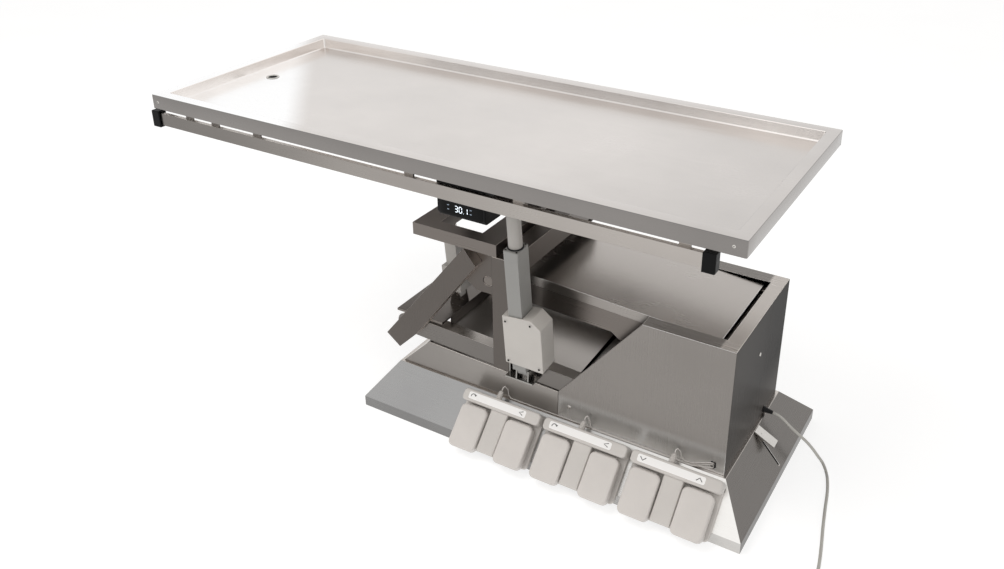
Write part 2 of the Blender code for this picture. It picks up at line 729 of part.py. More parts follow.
def build_upper_arm(table):
    """Two deep side plates under a folded cover, a lever tube for the lift and the left shaft."""
    under = COVER_RISE - COVER_SHEET - FIT
    left = UPPER_LEFT[0] - 0.014
    deep = under - SIDE_DEEP + COVER_SHEET
    outline = [(left, arm_line(left, -0.014)), (left + 0.045, arm_line(left + 0.045, deep)),
               (0.113, arm_line(0.113, deep)), (0.132, arm_line(0.132, deep - 0.013)),
               (LIFT_LUG[0] + 0.030, LIFT_LUG[1] - 0.020), (ARM_RIGHT[0], ARM_RIGHT[1] - 0.020),
               (ARM_RIGHT[0] + 0.018, ARM_RIGHT[1]), (ARM_RIGHT[0] - 0.004, arm_line(ARM_RIGHT[0], under)),
               (left, arm_line(left, under))]
    hole = circle(ARM_RIGHT, PIN_R + TURN)
    frame = plate_xz("upper_arm_frame", [outline, hole], *SIDE_PLATE_Y)
    table.finish(frame, "upper_arm", "dark_steel")
    low, high = SIDE_PLATE_Y
    reach = CHEEK_Y[1] - 0.001
    lug_x, lug_z = LIFT_LUG
    end_x, end_z = UPPER_LEFT
    tubes = [rods("lever_tube", [((lug_x, -high, lug_z), (lug_x, high, lug_z), LIFT_TUBE_R)]),
             rods("left_shaft", [((end_x, -reach, end_z), (end_x, reach, end_z), PIN_R)])]
    table.combine(frame, [plate_xz("front_side", [outline, hole], -high, -low), *tubes], "UNION")

    start, end = UPPER_LEFT[0] + COVER_FROM_LEFT, ARM_RIGHT[0] - COVER_FROM_RIGHT
    skin = [(start, arm_line(start, COVER_RISE)), (end, arm_line(end, COVER_RISE)),
            (end, arm_line(end, COVER_RISE - COVER_LIP)), (start, arm_line(start, COVER_RISE - COVER_LIP))]
    cover = plate_xz("upper_arm_cover", [skin], -COVER_HALF, COVER_HALF)
    table.finish(cover, "upper_arm", "steel")
    past = 0.01
    room = [(start - past, arm_line(start - past, COVER_RISE - COVER_SHEET)),
            (end + past, arm_line(end + past, COVER_RISE - COVER_SHEET)),
            (end + past, arm_line(end, -past)), (start - past, arm_line(start, -past))]
    inside = COVER_HALF - COVER_SHEET
    table.combine(cover, [plate_xz("cover_room_cut", [room], -inside, inside)], "DIFFERENCE")


def build_lower_arm(table):
    """Two box channels with round ends, joined by the shaft that turns in the towers."""
    outline = stadium(LOWER_LEFT, LOWER_RIGHT, CHANNEL_HIGH / 2)
    hole = circle(LOWER_LEFT, PIN_R + TURN)
    low, high = CHANNEL_Y
    frame = plate_xz("lower_arm_frame", [outline, hole], low, high)
    table.finish(frame, "lower_arm", "steel")
    reach = high - 0.004
    x, z = LOWER_RIGHT
    shaft = rods("lower_arm_shaft", [((x, -reach, z), (x, reach, z), PIN_R)])
    table.combine(frame, [plate_xz("front_channel", [outline, hole], -high, -low), shaft], "UNION")


def build_carrier(table):
    """Struts, cheeks, head beam and cross-member that the arms lift without turning."""
    x, z = LOWER_LEFT
    inner, seat = CHANNEL_Y[0] - 0.003, STRUT_Y[0] + 0.003
    struts = both_sides(table, "carrier_strut", [STRUT_OUTLINE], STRUT_Y, "carrier", "dark_steel")
    for strut, sign in zip(struts, (-1, 1)):
        pin = rods("lower_pin", [((x, sign * inner, z), (x, sign * seat, z), PIN_R)])
        table.combine(strut, [pin], "UNION")
    both_sides(table, "carrier_cheek", [CHEEK_OUTLINE, circle(UPPER_LEFT, PIN_R + TURN)], CHEEK_Y,
               "carrier", "dark_steel")

    reach = STRUT_Y[0] - FIT
    low, high = CROSS_Z
    member = boxes("carrier_cross_member", [((CROSS_X[0], -reach, low), (CROSS_X[1], reach, high))])
    table.finish(member, "carrier", "dark_steel")
    trim = CHANNEL_Y[0] - 0.004
    flange = boxes("cross_member_flange", [((CROSS_X[1] - 0.004, -trim, low - CROSS_FLANGE),
                                            (CROSS_X[1], trim, low + 0.001))])
    fx, fz = END_FOOT
    ear = [(fx - 0.016, high - 0.001), (fx + 0.016, high - 0.001), (fx + 0.010, fz + 0.006),
           (fx, fz + 0.011), (fx - 0.010, fz + 0.006)]
    gap = EYE_HALF + CLEVIS_GAP
    pin = rods("end_foot_pin", [((fx, END_Y - gap - 0.004, fz), (fx, END_Y + gap + 0.004, fz), SMALL_PIN_R)])
    table.combine(member, [flange, *ears_xz(ear, END_Y, gap, THIN_EAR), pin], "UNION")

    side = CHEEK_Y[0] - FIT
    beam = boxes("head_beam", [((HEAD_X[0], -side, HEAD_Z[0]), (HEAD_X[1], side, HEAD_Z[1]))])
    table.finish(beam, "carrier", "dark_steel")
    px, pz = TILT_PIVOT
    half = KNUCKLE_WIDE / 2
    shape = stadium(TILT_PIVOT, (HEAD_X[0] + 0.006, pz), KNUCKLE_R)
    lugs = [plate_xz("head_lug", [shape], y - half, y + half) for y in (-KNUCKLE_Y, KNUCKLE_Y)]
    reach = KNUCKLE_Y + half
    pin = rods("end_tilt_pin", [((px, -reach, pz), (px, reach, pz), TILT_PIN_R)])
    table.combine(beam, [*lugs, pin], "UNION")


def build_tilt_frame(table):
    """The ring hinged on the head beam, its post for the side cylinder and the table's pedestals."""
    left, right = RING_X
    inner_y, outer_y = RING_RAIL_Y
    outer = [(left, -outer_y), (right, -outer_y), (right, outer_y), (left, outer_y)]
    hole = [(left + RING_LEFT_BEAM, -inner_y), (right - RING_RIGHT_BEAM, -inner_y),
            (right - RING_RIGHT_BEAM, inner_y), (left + RING_LEFT_BEAM, inner_y)]
    ring = outline_curve("tilt_ring", [outer, hole], RING_Z[1] - RING_Z[0])
    ring.location = (0, 0, (RING_Z[0] + RING_Z[1]) / 2)
    ring = as_mesh(ring)
    table.finish(ring, "tilt_frame", "dark_steel")
    inset = KNUCKLE_Y - KNUCKLE_WIDE - TURN
    half = KNUCKLE_WIDE / 2
    shape = [stadium((right - 0.006, TILT_PIVOT[1]), TILT_PIVOT, KNUCKLE_R),
             circle(TILT_PIVOT, TILT_PIN_R + TURN)]
    lugs = [plate_xz("ring_lug", shape, y - half, y + half) for y in (-inset, inset)]
    tx, tz = END_TOP
    top = RING_Z[0] + 0.001
    ear = [(tx - 0.010, top), (tx - 0.010, tz - 0.006), (tx, tz - 0.011), (tx + 0.010, tz - 0.006),
           (tx + 0.016, top)]
    gap = EYE_HALF + CLEVIS_GAP
    table.combine(ring, [*lugs, *ears_xz(ear, END_Y, gap, THIN_EAR)], "UNION")

    post = boxes("tilt_post", [((POST_X[0], -outer_y, POST_LOW), (POST_X[1], -STRUT_Y[0], RING_Z[0] - FIT))])
    table.finish(post, "tilt_frame", "dark_steel")
    build_side_foot(table, outer_y, gap)

    base = RING_Z[1] + FIT
    outline = [(-PEDESTAL_HALF, base), (PEDESTAL_HALF, base), (0.016, TABLE_AXIS_Z + 0.004),
               (0.010, TABLE_AXIS_Z + 0.015), (-0.010, TABLE_AXIS_Z + 0.015), (-0.016, TABLE_AXIS_Z + 0.004)]
    hole = circle((0, TABLE_AXIS_Z), TILT_PIN_R + TURN)
    half = PEDESTAL_THICK / 2
    for side, x in zip(("left", "right"), PEDESTALS_X):
        pedestal = plate_yz(f"tilt_pedestal_{side}", [outline, hole], x - half, x + half)
        table.finish(pedestal, "tilt_frame", "dark_steel")


def build_side_foot(table, outer_y, gap):
    """The bracket at the post's foot, with the ears and pin of the side cylinder."""
    start = POST_X[1] + FIT
    thick = 0.004
    foot = boxes("side_foot_bracket", [((start, -outer_y - 0.016, POST_LOW),
                                        (SIDE_X + 0.026, -STRUT_Y[0], POST_LOW + thick))])
    table.finish(foot, "tilt_frame", "bright")
    low = POST_LOW + thick / 2
    fy, fz = SIDE_FOOT
    ear = [(fy - 0.012, low), (fy + 0.014, low), (fy + 0.010, fz + 0.006), (fy, fz + 0.010),
           (fy - 0.010, fz + 0.006)]
    pin_half = gap + 0.004
    pin = rods("side_foot_pin", [((SIDE_X - pin_half, fy, fz), (SIDE_X + pin_half, fy, fz), SMALL_PIN_R)])
    gusset = boxes("side_foot_gusset", [((start, -outer_y, low),
                                         (start + THIN_EAR, -STRUT_Y[0], POST_LOW + 0.028))])
    table.combine(foot, [gusset, *ears_yz(ear, SIDE_X, gap, THIN_EAR), pin], "UNION")


def build_tabletop(table):
    """The tray, its drain, the frame under it, the side rails and the display."""
    right = TABLE_LEFT + TABLE_LENGTH
    half = TABLE_WIDTH / 2
    low = TABLE_TOP - RIM_HEIGHT
    floor = TABLE_TOP - TRAY_DEPTH

    def ring(inset, z):
        return (TABLE_LEFT + inset, right - inset, half - inset, z)

    tray = ring_shell("table_tray", [ring(RIM_RETURN, low), ring(0, low), ring(0, TABLE_TOP),
                                     ring(RIM_BAND, TABLE_TOP), ring(RIM_BAND + TRAY_TAPER, floor)],
                      TRAY_SHEET, cap=True)
    table.finish(tray, "tabletop", "steel")
    drain_x = TABLE_LEFT + DRAIN_FROM_LEFT
    hole = rods("drain_hole_cut", [((drain_x, 0, low), (drain_x, 0, TABLE_TOP), DRAIN_HOLE_R)])
    table.combine(tray, [hole], "DIFFERENCE")
    top = floor + FIT
    pipe = DRAIN_HOLE_R - FIT
    collar = [(DRAIN_HOLE_R - 0.004, top + 0.0015), (DRAIN_FLANGE_R, top + 0.0015), (DRAIN_FLANGE_R, top),
              (pipe, top), (pipe, floor - DRAIN_PIPE), (DRAIN_HOLE_R - 0.002, floor - DRAIN_PIPE),
              (DRAIN_HOLE_R - 0.002, top - 0.002), (DRAIN_HOLE_R - 0.004, top - 0.002),
              (DRAIN_HOLE_R - 0.004, top + 0.0015)]
    table.finish(turned("drain_collar", collar, (drain_x, 0, 0)), "tabletop", "bright")
    table.finish(rods("drain_plug", [((drain_x, 0, top - 0.006), (drain_x, 0, top + 0.001),
                                      DRAIN_HOLE_R - 0.004 - FIT)]), "tabletop", "black")
    build_table_frame(table, floor - TRAY_SHEET - FIT)
    build_rails(table, low)


def build_table_frame(table, top):
    """Two long beams with four cross tubes, and the brackets that hang from them."""
    right = TABLE_LEFT + TABLE_LENGTH
    bottom = top - BEAM_HIGH
    x_low, x_high = TABLE_LEFT + BEAM_END_SPACE, right - BEAM_END_SPACE
    half = BEAM_WIDE / 2
    frame = boxes("table_frame", [((x_low, BEAM_Y - half, bottom), (x_high, BEAM_Y + half, top))])
    table.finish(frame, "tabletop", "dark_steel")
    others = [boxes("front_beam", [((x_low, -BEAM_Y - half, bottom), (x_high, -BEAM_Y + half, top))])]
    for x in (TABLE_LEFT + END_CROSS_SPACE, *PEDESTALS_X, right - END_CROSS_SPACE):
        others.append(boxes("cross_tube", [((x - half, -BEAM_Y, bottom + CROSS_INSET),
                                             (x + half, BEAM_Y, top - CROSS_INSET))]))
    table.combine(frame, others, "UNION")

    plate = bottom + CROSS_INSET - FIT
    ear = [(-TABLE_EAR_HALF, plate), (-0.014, TABLE_AXIS_Z - 0.004), (-0.008, TABLE_AXIS_Z - 0.013),
           (0.008, TABLE_AXIS_Z - 0.013), (0.014, TABLE_AXIS_Z - 0.004), (TABLE_EAR_HALF, plate)]
    inner = PEDESTAL_THICK / 2 + TURN
    reach = inner + TABLE_EAR
    for side, x in zip(("left", "right"), PEDESTALS_X):
        bracket = boxes(f"table_hinge_{side}", [((x - reach, -TABLE_EAR_HALF, plate - 0.005),
                                                 (x + reach, TABLE_EAR_HALF, plate))])
        table.finish(bracket, "tabletop", "dark_steel")
        ends = ((x - reach, 0, TABLE_AXIS_Z), (x + reach, 0, TABLE_AXIS_Z))
        pin = rods("side_tilt_pin", [(*ends, TILT_PIN_R)])
        table.combine(bracket, [*ears_yz(ear, x, inner, TABLE_EAR), pin], "UNION")

    seat = SIDE_TOP[1] + EYE_TOP_R + SIDE_OPEN_SPACE
    gap = EYE_HALF + SIDE_OPEN_SPACE
    ty = SIDE_TOP[0]
    holder = boxes("side_top_holder", [((SIDE_X - gap - 0.004, -TABLE_WIDTH / 2 + RIM_RETURN + 0.008, seat),
                                        (SIDE_X + gap + 0.004, -BEAM_Y - half - FIT, top))])
    table.finish(holder, "tabletop", "dark_steel")
    ear = [(ty - 0.014, seat + 0.002), (ty - 0.010, SIDE_TOP[1] - 0.006), (ty + 0.010, SIDE_TOP[1] - 0.006),
           (ty + 0.014, seat + 0.002)]
    table.combine(holder, ears_yz(ear, SIDE_X, gap, 0.004), "UNION")


def build_rails(table, rim_low):
    """Flat side rails on short brackets under the rim, their black end caps and the display box."""
    rail_top = rim_low - RAIL_DROP
    rail_low = rail_top - RAIL_HIGH
    rail_right = TABLE_LEFT + RAIL_LENGTH
    inner = RAIL_OUT - RAIL_THICK
    cap_inner, cap_outer = RAIL_OUT + CAP_PROUD - CAP_DEEP, RAIL_OUT + CAP_PROUD
    under = rim_low - FIT
    for side, sign in (("front", -1), ("back", 1)):
        y_low, y_high = sorted((sign * inner, sign * RAIL_OUT))
        rail = boxes(f"side_rail_{side}", [((TABLE_LEFT, y_low, rail_low), (rail_right, y_high, rail_top))])
        table.finish(rail, "tabletop", "steel")
        seat, back = sign * (inner + 0.002), sign * (inner - BRACKET_PLATE)
        tip = sign * (inner - BRACKET_FOOT)
        profile = [(seat, rail_low + 0.004), (back, rail_low + 0.004), (back, under - BRACKET_PLATE),
                   (tip, under - BRACKET_PLATE), (tip, under), (seat, under)]
        half = BRACKET_WIDE / 2
        tabs = [plate_yz("rail_tab", [profile], x - half, x + half) for x in BRACKETS_X]
        table.combine(rail, tabs, "UNION")
        cap_low, cap_high = sorted((sign * cap_inner, sign * cap_outer))
        for end, start in (("left", TABLE_LEFT - CAP_PROUD), ("right", rail_right + CAP_PROUD - CAP_LONG)):
            cap = boxes(f"rail_cap_{side}_{end}", [((start, cap_low, rail_low - CAP_PROUD),
                                                    (start + CAP_LONG, cap_high, rail_top + CAP_PROUD))])
            table.finish(cap, "tabletop", "black")
            room = boxes("cap_room_cut", [((TABLE_LEFT - FIT, y_low - FIT, rail_low - FIT),
                                           (rail_right + FIT, y_high + FIT, rail_top + FIT))])
            table.combine(cap, [room], "DIFFERENCE")

    top = TABLE_TOP - TRAY_DEPTH - TRAY_SHEET - FIT
    chamfer_y, chamfer_z = DISPLAY_CHAMFER
    back = DISPLAY_DEEP - DISPLAY_FRONT
    profile = [(-DISPLAY_FRONT, top), (-DISPLAY_FRONT, DISPLAY_LOW + chamfer_z),
               (-DISPLAY_FRONT + chamfer_y, DISPLAY_LOW), (back, DISPLAY_LOW), (back + DISPLAY_LEAN, top)]
    table.finish(plate_yz("display_box", [profile], *DISPLAY_X), "tabletop", "black")


def moved(item, matrix):
    """Puts a matrix into the mesh of an object."""
    item.data.transform(matrix)
    return item


def cylinder_frame(start, end, pin_axis):
    """A matrix with Z from start to end and X along the cylinder's pins."""
    start, end = Vector(start), Vector(end)
    z_axis = (end - start).normalized()
    x_axis = Vector(pin_axis)
    y_axis = z_axis.cross(x_axis)
    turn = Matrix((x_axis, y_axis, z_axis)).transposed().to_4x4()
    return Matrix.Translation(start) @ turn, (end - start).length


def eye(name, radius, hole):
    """A flat eye about the local X axis, at the local origin."""
    return plate_yz(name, [circle((0, 0), radius), circle((0, 0), hole)], -EYE_HALF, EYE_HALF)


def build_lift_cylinder(table):
    """The lift cylinder and its rod, whose open eye runs round the lever tube."""
    start, end = (LIFT_FOOT[0], 0, LIFT_FOOT[1]), (LIFT_LUG[0], 0, LIFT_LUG[1])
    matrix, reach = cylinder_frame(start, end, (0, 1, 0))
    neck_low, neck_half = LIFT_NECK
    motor_low, motor_high = LIFT_MOTOR_SPAN
    past = 0.01
    bite = 0.003
    foot = eye("lift_cylinder", EYE_R, SMALL_PIN_R + TURN)
    barrel = rods("lift_barrel", [((0, 0, LIFT_BODY_START), (0, 0, LIFT_BODY_LONG), LIFT_BODY_R)])
    neck = boxes("lift_neck", [((-EYE_HALF, -neck_half, neck_low),
                                (EYE_HALF, neck_half, LIFT_BODY_START + bite))])
    table.finish(moved(foot, matrix), "lift_cylinder", "dark_steel")
    ends = ((0, 0, LIFT_BORE_START), (0, 0, LIFT_BODY_LONG + past))
    bore = rods("lift_bore_cut", [(*ends, LIFT_ROD_R + TURN)])
    motor = boxes("lift_motor", [((-LIFT_MOTOR_HALF, LIFT_BODY_R - 0.008, motor_low),
                                  (LIFT_MOTOR_HALF, LIFT_BODY_R + LIFT_MOTOR_OUT, motor_high))])
    table.combine(foot, [moved(neck, matrix), moved(barrel, matrix), moved(motor, matrix)], "UNION")
    table.combine(foot, [moved(bore, matrix)], "DIFFERENCE")

    open_hole = LIFT_TUBE_R + LIFT_OPEN_SPACE
    centre = (0, reach)
    rim = [circle(centre, open_hole + LIFT_RING_WALL), circle(centre, open_hole)]
    ring = plate_yz("lift_rod", rim, -EYE_HALF, EYE_HALF)
    table.finish(moved(ring, matrix), "lift_rod", "bright")
    stem_low = LIFT_BORE_START + 0.004
    stem = rods("lift_stem", [((0, 0, stem_low), (0, 0, reach - open_hole - bite), LIFT_ROD_R)])
    table.combine(ring, [moved(stem, matrix)], "UNION")


def build_end_cylinder(table):
    """The cylinder under the ring's left beam, on the carrier's cross-member."""
    start, end = (END_FOOT[0], END_Y, END_FOOT[1]), (END_TOP[0], END_Y, END_TOP[1])
    matrix, reach = cylinder_frame(start, end, (0, 1, 0))
    foot = eye("end_cylinder", FOOT_EYE_R, SMALL_PIN_R + TURN)
    table.finish(moved(foot, matrix), "end_cylinder", "pale_tube")
    half = END_TUBE / 2
    neck_low, neck_half = NECK
    motor_low, motor_high = END_MOTOR_SPAN
    body = boxes("end_body", [((-half, -half, BODY_START), (half, half, END_BODY_TOP))])
    neck_top = BODY_START + 0.002
    neck = boxes("end_neck", [((-FOOT_EYE_R, -neck_half, neck_low), (FOOT_EYE_R, neck_half, neck_top))])
    motor = boxes("end_motor", [((-END_MOTOR_LEFT, -END_MOTOR_HALF, motor_low),
                                 (END_MOTOR_RIGHT, END_MOTOR_HALF, motor_high))])
    bore = rods("end_bore_cut", [((0, 0, END_BORE_START), (0, 0, END_BODY_TOP + 0.01), END_ROD_R + TURN)])
    table.combine(foot, [moved(neck, matrix), moved(body, matrix), moved(motor, matrix)], "UNION")
    table.combine(foot, [moved(bore, matrix)], "DIFFERENCE")
    top = rods("end_rod", [((0, 0, END_ROD_START), (0, 0, reach - EYE_TOP_R * 0.7), END_ROD_R)])
    table.finish(moved(top, matrix), "end_rod", "bright")
    head_half = EYE_HALF - 0.002
    head = rods("end_head", [((-head_half, 0, reach), (head_half, 0, reach), EYE_TOP_R)])
    table.combine(top, [moved(head, matrix)], "UNION")


def build_side_cylinder(table):
    """The square tube with its motor housing in front of the arms, and the rod to the tabletop."""
    matrix, reach = cylinder_frame((SIDE_X, *SIDE_FOOT), (SIDE_X, *SIDE_TOP), (1, 0, 0))
    foot = eye("side_cylinder", FOOT_EYE_R, SMALL_PIN_R + TURN)
    table.finish(moved(foot, matrix), "side_cylinder", "pale_tube")
    half_wide, half_deep = SIDE_TUBE[0] / 2, SIDE_TUBE[1] / 2
    neck_low, neck_half = NECK
    neck_top = BODY_START + 0.002
    tube_top = SIDE_TUBE_TOP
    body = boxes("side_tube", [((-half_wide, -half_deep, BODY_START), (half_wide, half_deep, tube_top))])
    neck = boxes("side_neck", [((-FOOT_EYE_R, -neck_half, neck_low), (FOOT_EYE_R, neck_half, neck_top))])
    ends = ((0, 0, SIDE_BORE_START), (0, 0, tube_top + 0.01))
    bore = rods("side_bore_cut", [(*ends, SIDE_ROD_R + TURN)])
    table.combine(foot, [moved(neck, matrix), moved(body, matrix)], "UNION")
    table.combine(foot, [moved(bore, matrix)], "DIFFERENCE")
    low, high = MOTOR_SPAN
    outline = [(-MOTOR_LEFT, low), (MOTOR_RIGHT, low), (MOTOR_RIGHT, high - MOTOR_CHAMFER / 2),
               (MOTOR_RIGHT - MOTOR_CHAMFER, high + MOTOR_CHAMFER / 3), (-MOTOR_LEFT, high)]
    case = plate_xz("side_motor_case", [outline], -MOTOR_BACK, MOTOR_FRONT)
    case = moved(case, Matrix.Diagonal((1, -1, 1, 1)))
    case.data.flip_normals()
    table.finish(moved(case, matrix), "side_cylinder", "grey_plastic")
    room_x, room_y = half_wide + FIT, half_deep + FIT
    room = boxes("motor_room_cut", [((-room_x, -room_y, 0), (room_x, room_y, high + MOTOR_CHAMFER))])
    table.combine(case, [moved(room, matrix)], "DIFFERENCE")

    rod = rods("side_rod", [((0, 0, SIDE_ROD_START), (0, 0, reach - EYE_TOP_R * 0.7), SIDE_ROD_R)])
    table.finish(moved(rod, matrix), "side_rod", "pale_tube")
    head = rods("side_head", [((-EYE_HALF, 0, reach), (EYE_HALF, 0, reach), EYE_TOP_R)])
    table.combine(rod, [moved(head, matrix)], "UNION")


def slope_matrix(x):
    """A matrix with its X along the skirt, its Y up the front slope and its Z out of it."""
    up, out, _ = slope_axes()
    turn = Matrix((Vector((1, 0, 0)), up, out)).transposed().to_4x4()
    return Matrix.Translation(slope_point(x, 0, 0)) @ turn


def slab(name, outline, low, high):
    """A slab over a plan outline between two heights."""
    item = outline_curve(name, [outline], high - low)
    item.location = (0, 0, (low + high) / 2)
    return as_mesh(item)


def build_pedals(table):
    """Three double pedals with sprung pads, and their thin leads along the ledge."""
    pads = iter(enumerate(pad_places(), 1))
    low, high = PEDAL_SPAN
    middle = PEDAL_LONG / 2
    web_low, web_high = middle - PEDAL_WEB / 2, middle + PEDAL_WEB / 2
    seat_top = PAD_LOW - PAD_HINGE_R - TURN
    for number, left in enumerate(PEDAL_UNITS_X, 1):
        matrix = slope_matrix(left)
        plan = rounded_rectangle((0, low), (PEDAL_LONG, high), PEDAL_CORNER)
        base = slab(f"pedal_unit_{number}", plan, FIT, PEDAL_BASE)
        table.finish(moved(base, matrix), "base", "grey_plastic")
        plan = rounded_rectangle((BAR_INSET, high - PEDAL_BAR), (PEDAL_LONG - BAR_INSET, high - BAR_INSET),
                                 BAR_CORNER)
        bar = slab("pedal_bar", plan, 0.002, PEDAL_TOP)
        web_foot, web_end = low + 0.002, high - 0.010
        plan = [(web_low, web_foot), (web_high, web_foot), (web_high, web_end), (web_low, web_end)]
        web = slab("pedal_web", plan, 0.003, PEDAL_TOP - WEB_DROP)
        relief, lead = pedal_lead(number, left + PEDAL_LONG * LEAD_SHARE)
        table.finish(lead, "base", "cord")
        seats = []
        for _ in range(2):
            pad_number, (centre, _side) = next(pads)
            start = centre - left - PAD_LONG / 2
            ends = (start + PAD_CORNER, start + PAD_LONG - PAD_CORNER)
            hinge = PAD_SPAN[1]
            seat = boxes("pad_seat", [((ends[0], hinge - PAD_SEAT_HALF, 0.003),
                                       (ends[1], hinge + PAD_SEAT_HALF, seat_top))])
            seats.append(moved(seat, matrix))
            plan = rounded_rectangle((start, PAD_SPAN[0]), (start + PAD_LONG, hinge), PAD_CORNER)
            pad = slab(f"pedal_pad_{pad_number}", plan, PAD_LOW, PAD_HIGH)
            table.finish(moved(pad, matrix), f"pad_{pad_number}", "pad_plastic")
            ends = ((ends[0], hinge, PAD_LOW), (ends[1], hinge, PAD_LOW))
            barrel = rods("pad_hinge", [(*ends, PAD_HINGE_R)], PIN_SIDES)
            table.combine(pad, [moved(barrel, matrix)], "UNION")
        table.combine(base, [moved(bar, matrix), moved(web, matrix), relief, *seats], "UNION")


def pedal_lead(number, x):
    """A ribbed relief on the pedal's back edge and its lead, over a loop and along the ledge."""
    up, out, _ = slope_axes()
    start = Vector(slope_point(x, PEDAL_SPAN[1] - 0.004, PEDAL_TOP - 0.012))
    end = start + up * (RELIEF_LONG + 0.004)
    bm = bmesh.new()
    add_rod(bm, start, end, *RELIEF_R, PIN_SIDES)
    relief = from_bmesh("relief", bm)
    outer, upper = number == 2, number == 3
    track_y = -WALL_OUT - LEAD_R - 0.0006 - (0.0032 if outer else 0)
    track_z = SKIRT_TOP + LEAD_R + FIT + (0.0036 if upper else 0)
    begin = end + up * FIT
    slot_x, slot_z = LEAD_SLOT
    slot_z += (0.0, -LEAD_STACK, LEAD_STACK)[number - 1]
    route = [begin, begin + up * 0.006, begin + Vector((0.004, 0.0055, 0.008)),
             Vector((x + 0.008, track_y, end.z - 0.002)), Vector((x + 0.010, track_y, track_z + 0.006)),
             Vector((x + 0.016, track_y, track_z)), Vector((x + 0.030, track_y, track_z))]
    if not upper:
        route.append(Vector((slot_x - 0.070, track_y, track_z)))
    route += [Vector((slot_x - 0.042, track_y, track_z)),
              Vector((slot_x - 0.025, track_y, (track_z + slot_z) / 2)),
              Vector((slot_x - 0.006, track_y, slot_z)),
              Vector((slot_x, track_y + 0.0020, slot_z)),
              Vector((slot_x + 0.0025, -WALL_OUT + 0.007, slot_z)),
              Vector((slot_x + 0.0025, -WALL_OUT + 0.013, slot_z))]
    return relief, tube(f"pedal_lead_{number}", smooth_route(route, 0.03), LEAD_R)


def build_foot_lever(table):
    """A bent lever that stands out of the slot in the right slope, on a pin inside."""
    px, pz = LEVER_PIVOT
    half = LEVER_PLATE / 2
    stem = [(px - 0.009, pz - 0.008), (px + 0.008, pz - 0.008),
            *((px + dx, pz + dz) for dx, dz in LEVER_STEM), (px - 0.009, pz + 0.008)]
    hole = circle(LEVER_PIVOT, LEVER_PIN_R + TURN, FEW_SIDES)
    lever = plate_xz("foot_lever", [stem, hole], LEVER_Y - half, LEVER_Y + half)
    table.finish(lever, "foot_lever", "bright")
    long, wide = LEVER_PAD
    pad = boxes("lever_pad", [((-0.010, -wide / 2, -half), (long - 0.010, wide / 2, half))])
    tilt = Matrix.Rotation(radians(LEVER_PAD_ANGLE), 4, "Y")
    dx, dy, dz = LEVER_PAD_AT
    place = Matrix.Translation((px + dx, LEVER_Y + dy, pz + dz)) @ tilt
    table.combine(lever, [moved(pad, place)], "UNION")


def build_mains(table):
    """The tapered relief at the housing's foot, the lead, its coil on the floor and the plug."""
    bm = bmesh.new()
    start = Vector((HOUSING_RIGHT + FIT, MAINS_EXIT_Y, MAINS_EXIT_Z))
    first = Vector(MAINS_ROUTE[0])
    add_rod(bm, start, first - (first - start).normalized() * FIT, *MAINS_RELIEF_R, FEW_SIDES)
    table.finish(smooth(from_bmesh("mains_relief", bm)), "base", "black")
    table.finish(tube("mains_lead", smooth_route(MAINS_ROUTE, MAINS_STEP), MAINS_R), "base", "cord")
    inner, outer = COIL_MEAN_R - COIL_HALF, COIL_MEAN_R + COIL_HALF
    soft = 0.004
    ring = [(outer - soft, COIL_HIGH), (outer, COIL_HIGH - soft), (outer, soft), (outer - soft, FIT),
            (inner + soft, FIT), (inner, soft), (inner, COIL_HIGH - soft), (inner + soft, COIL_HIGH),
            (outer - soft, COIL_HIGH)]
    table.finish(turned("mains_coil", ring, (*COIL_CENTRE, 0)), "base", "cord")
    x = COIL_CENTRE[0] - COIL_MEAN_R
    z = PLUG_R + FIT
    back = COIL_CENTRE[1] - outer - 0.004
    front = back - PLUG_LONG
    tail_start = COIL_CENTRE[1] - (outer ** 2 - (COIL_MEAN_R - MAINS_R) ** 2) ** 0.5 - FIT
    body = rods("mains_plug", [((x, back, z), (x, front, z), PLUG_R)], FEW_SIDES)
    table.finish(body, "base", "black")
    bite = 0.002
    pins = [rods("plug_pin", [((x + dx, front + bite, z), (x + dx, front - PLUG_PIN_LONG, z), PLUG_PIN_R)],
                 PIN_SIDES) for dx in (-PLUG_PIN_SPACE, PLUG_PIN_SPACE)]
    tail = rods("plug_tail", [((x, tail_start, z), (x, back - bite, z), MAINS_R)], PIN_SIDES)
    table.combine(body, [*pins, tail], "UNION")


if __name__ == "__main__":
    model = Table()
    build_base(model)
    build_towers(model)
    build_upper_arm(model)
    build_lower_arm(model)
    build_carrier(model)
    build_tilt_frame(model)
    build_tabletop(model)
    build_lift_cylinder(model)
    build_end_cylinder(model)
    build_side_cylinder(model)
    build_pedals(model)
    build_foot_lever(model)
    build_mains(model)
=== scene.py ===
"""Looks of a steel operating table, laid out as a Blender add-on and run as a script.

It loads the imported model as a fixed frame, dresses each node in bevelled copies or new surfaces, and
gives everything procedural materials.  Metres, +Z up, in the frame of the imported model.
"""
import json
from collections import namedtuple
from math import cos, pi, radians, sin

import bmesh
import bpy
import numpy as np
from bpy.props import FloatProperty, FloatVectorProperty, IntProperty, PointerProperty
from mathutils import Matrix, Vector


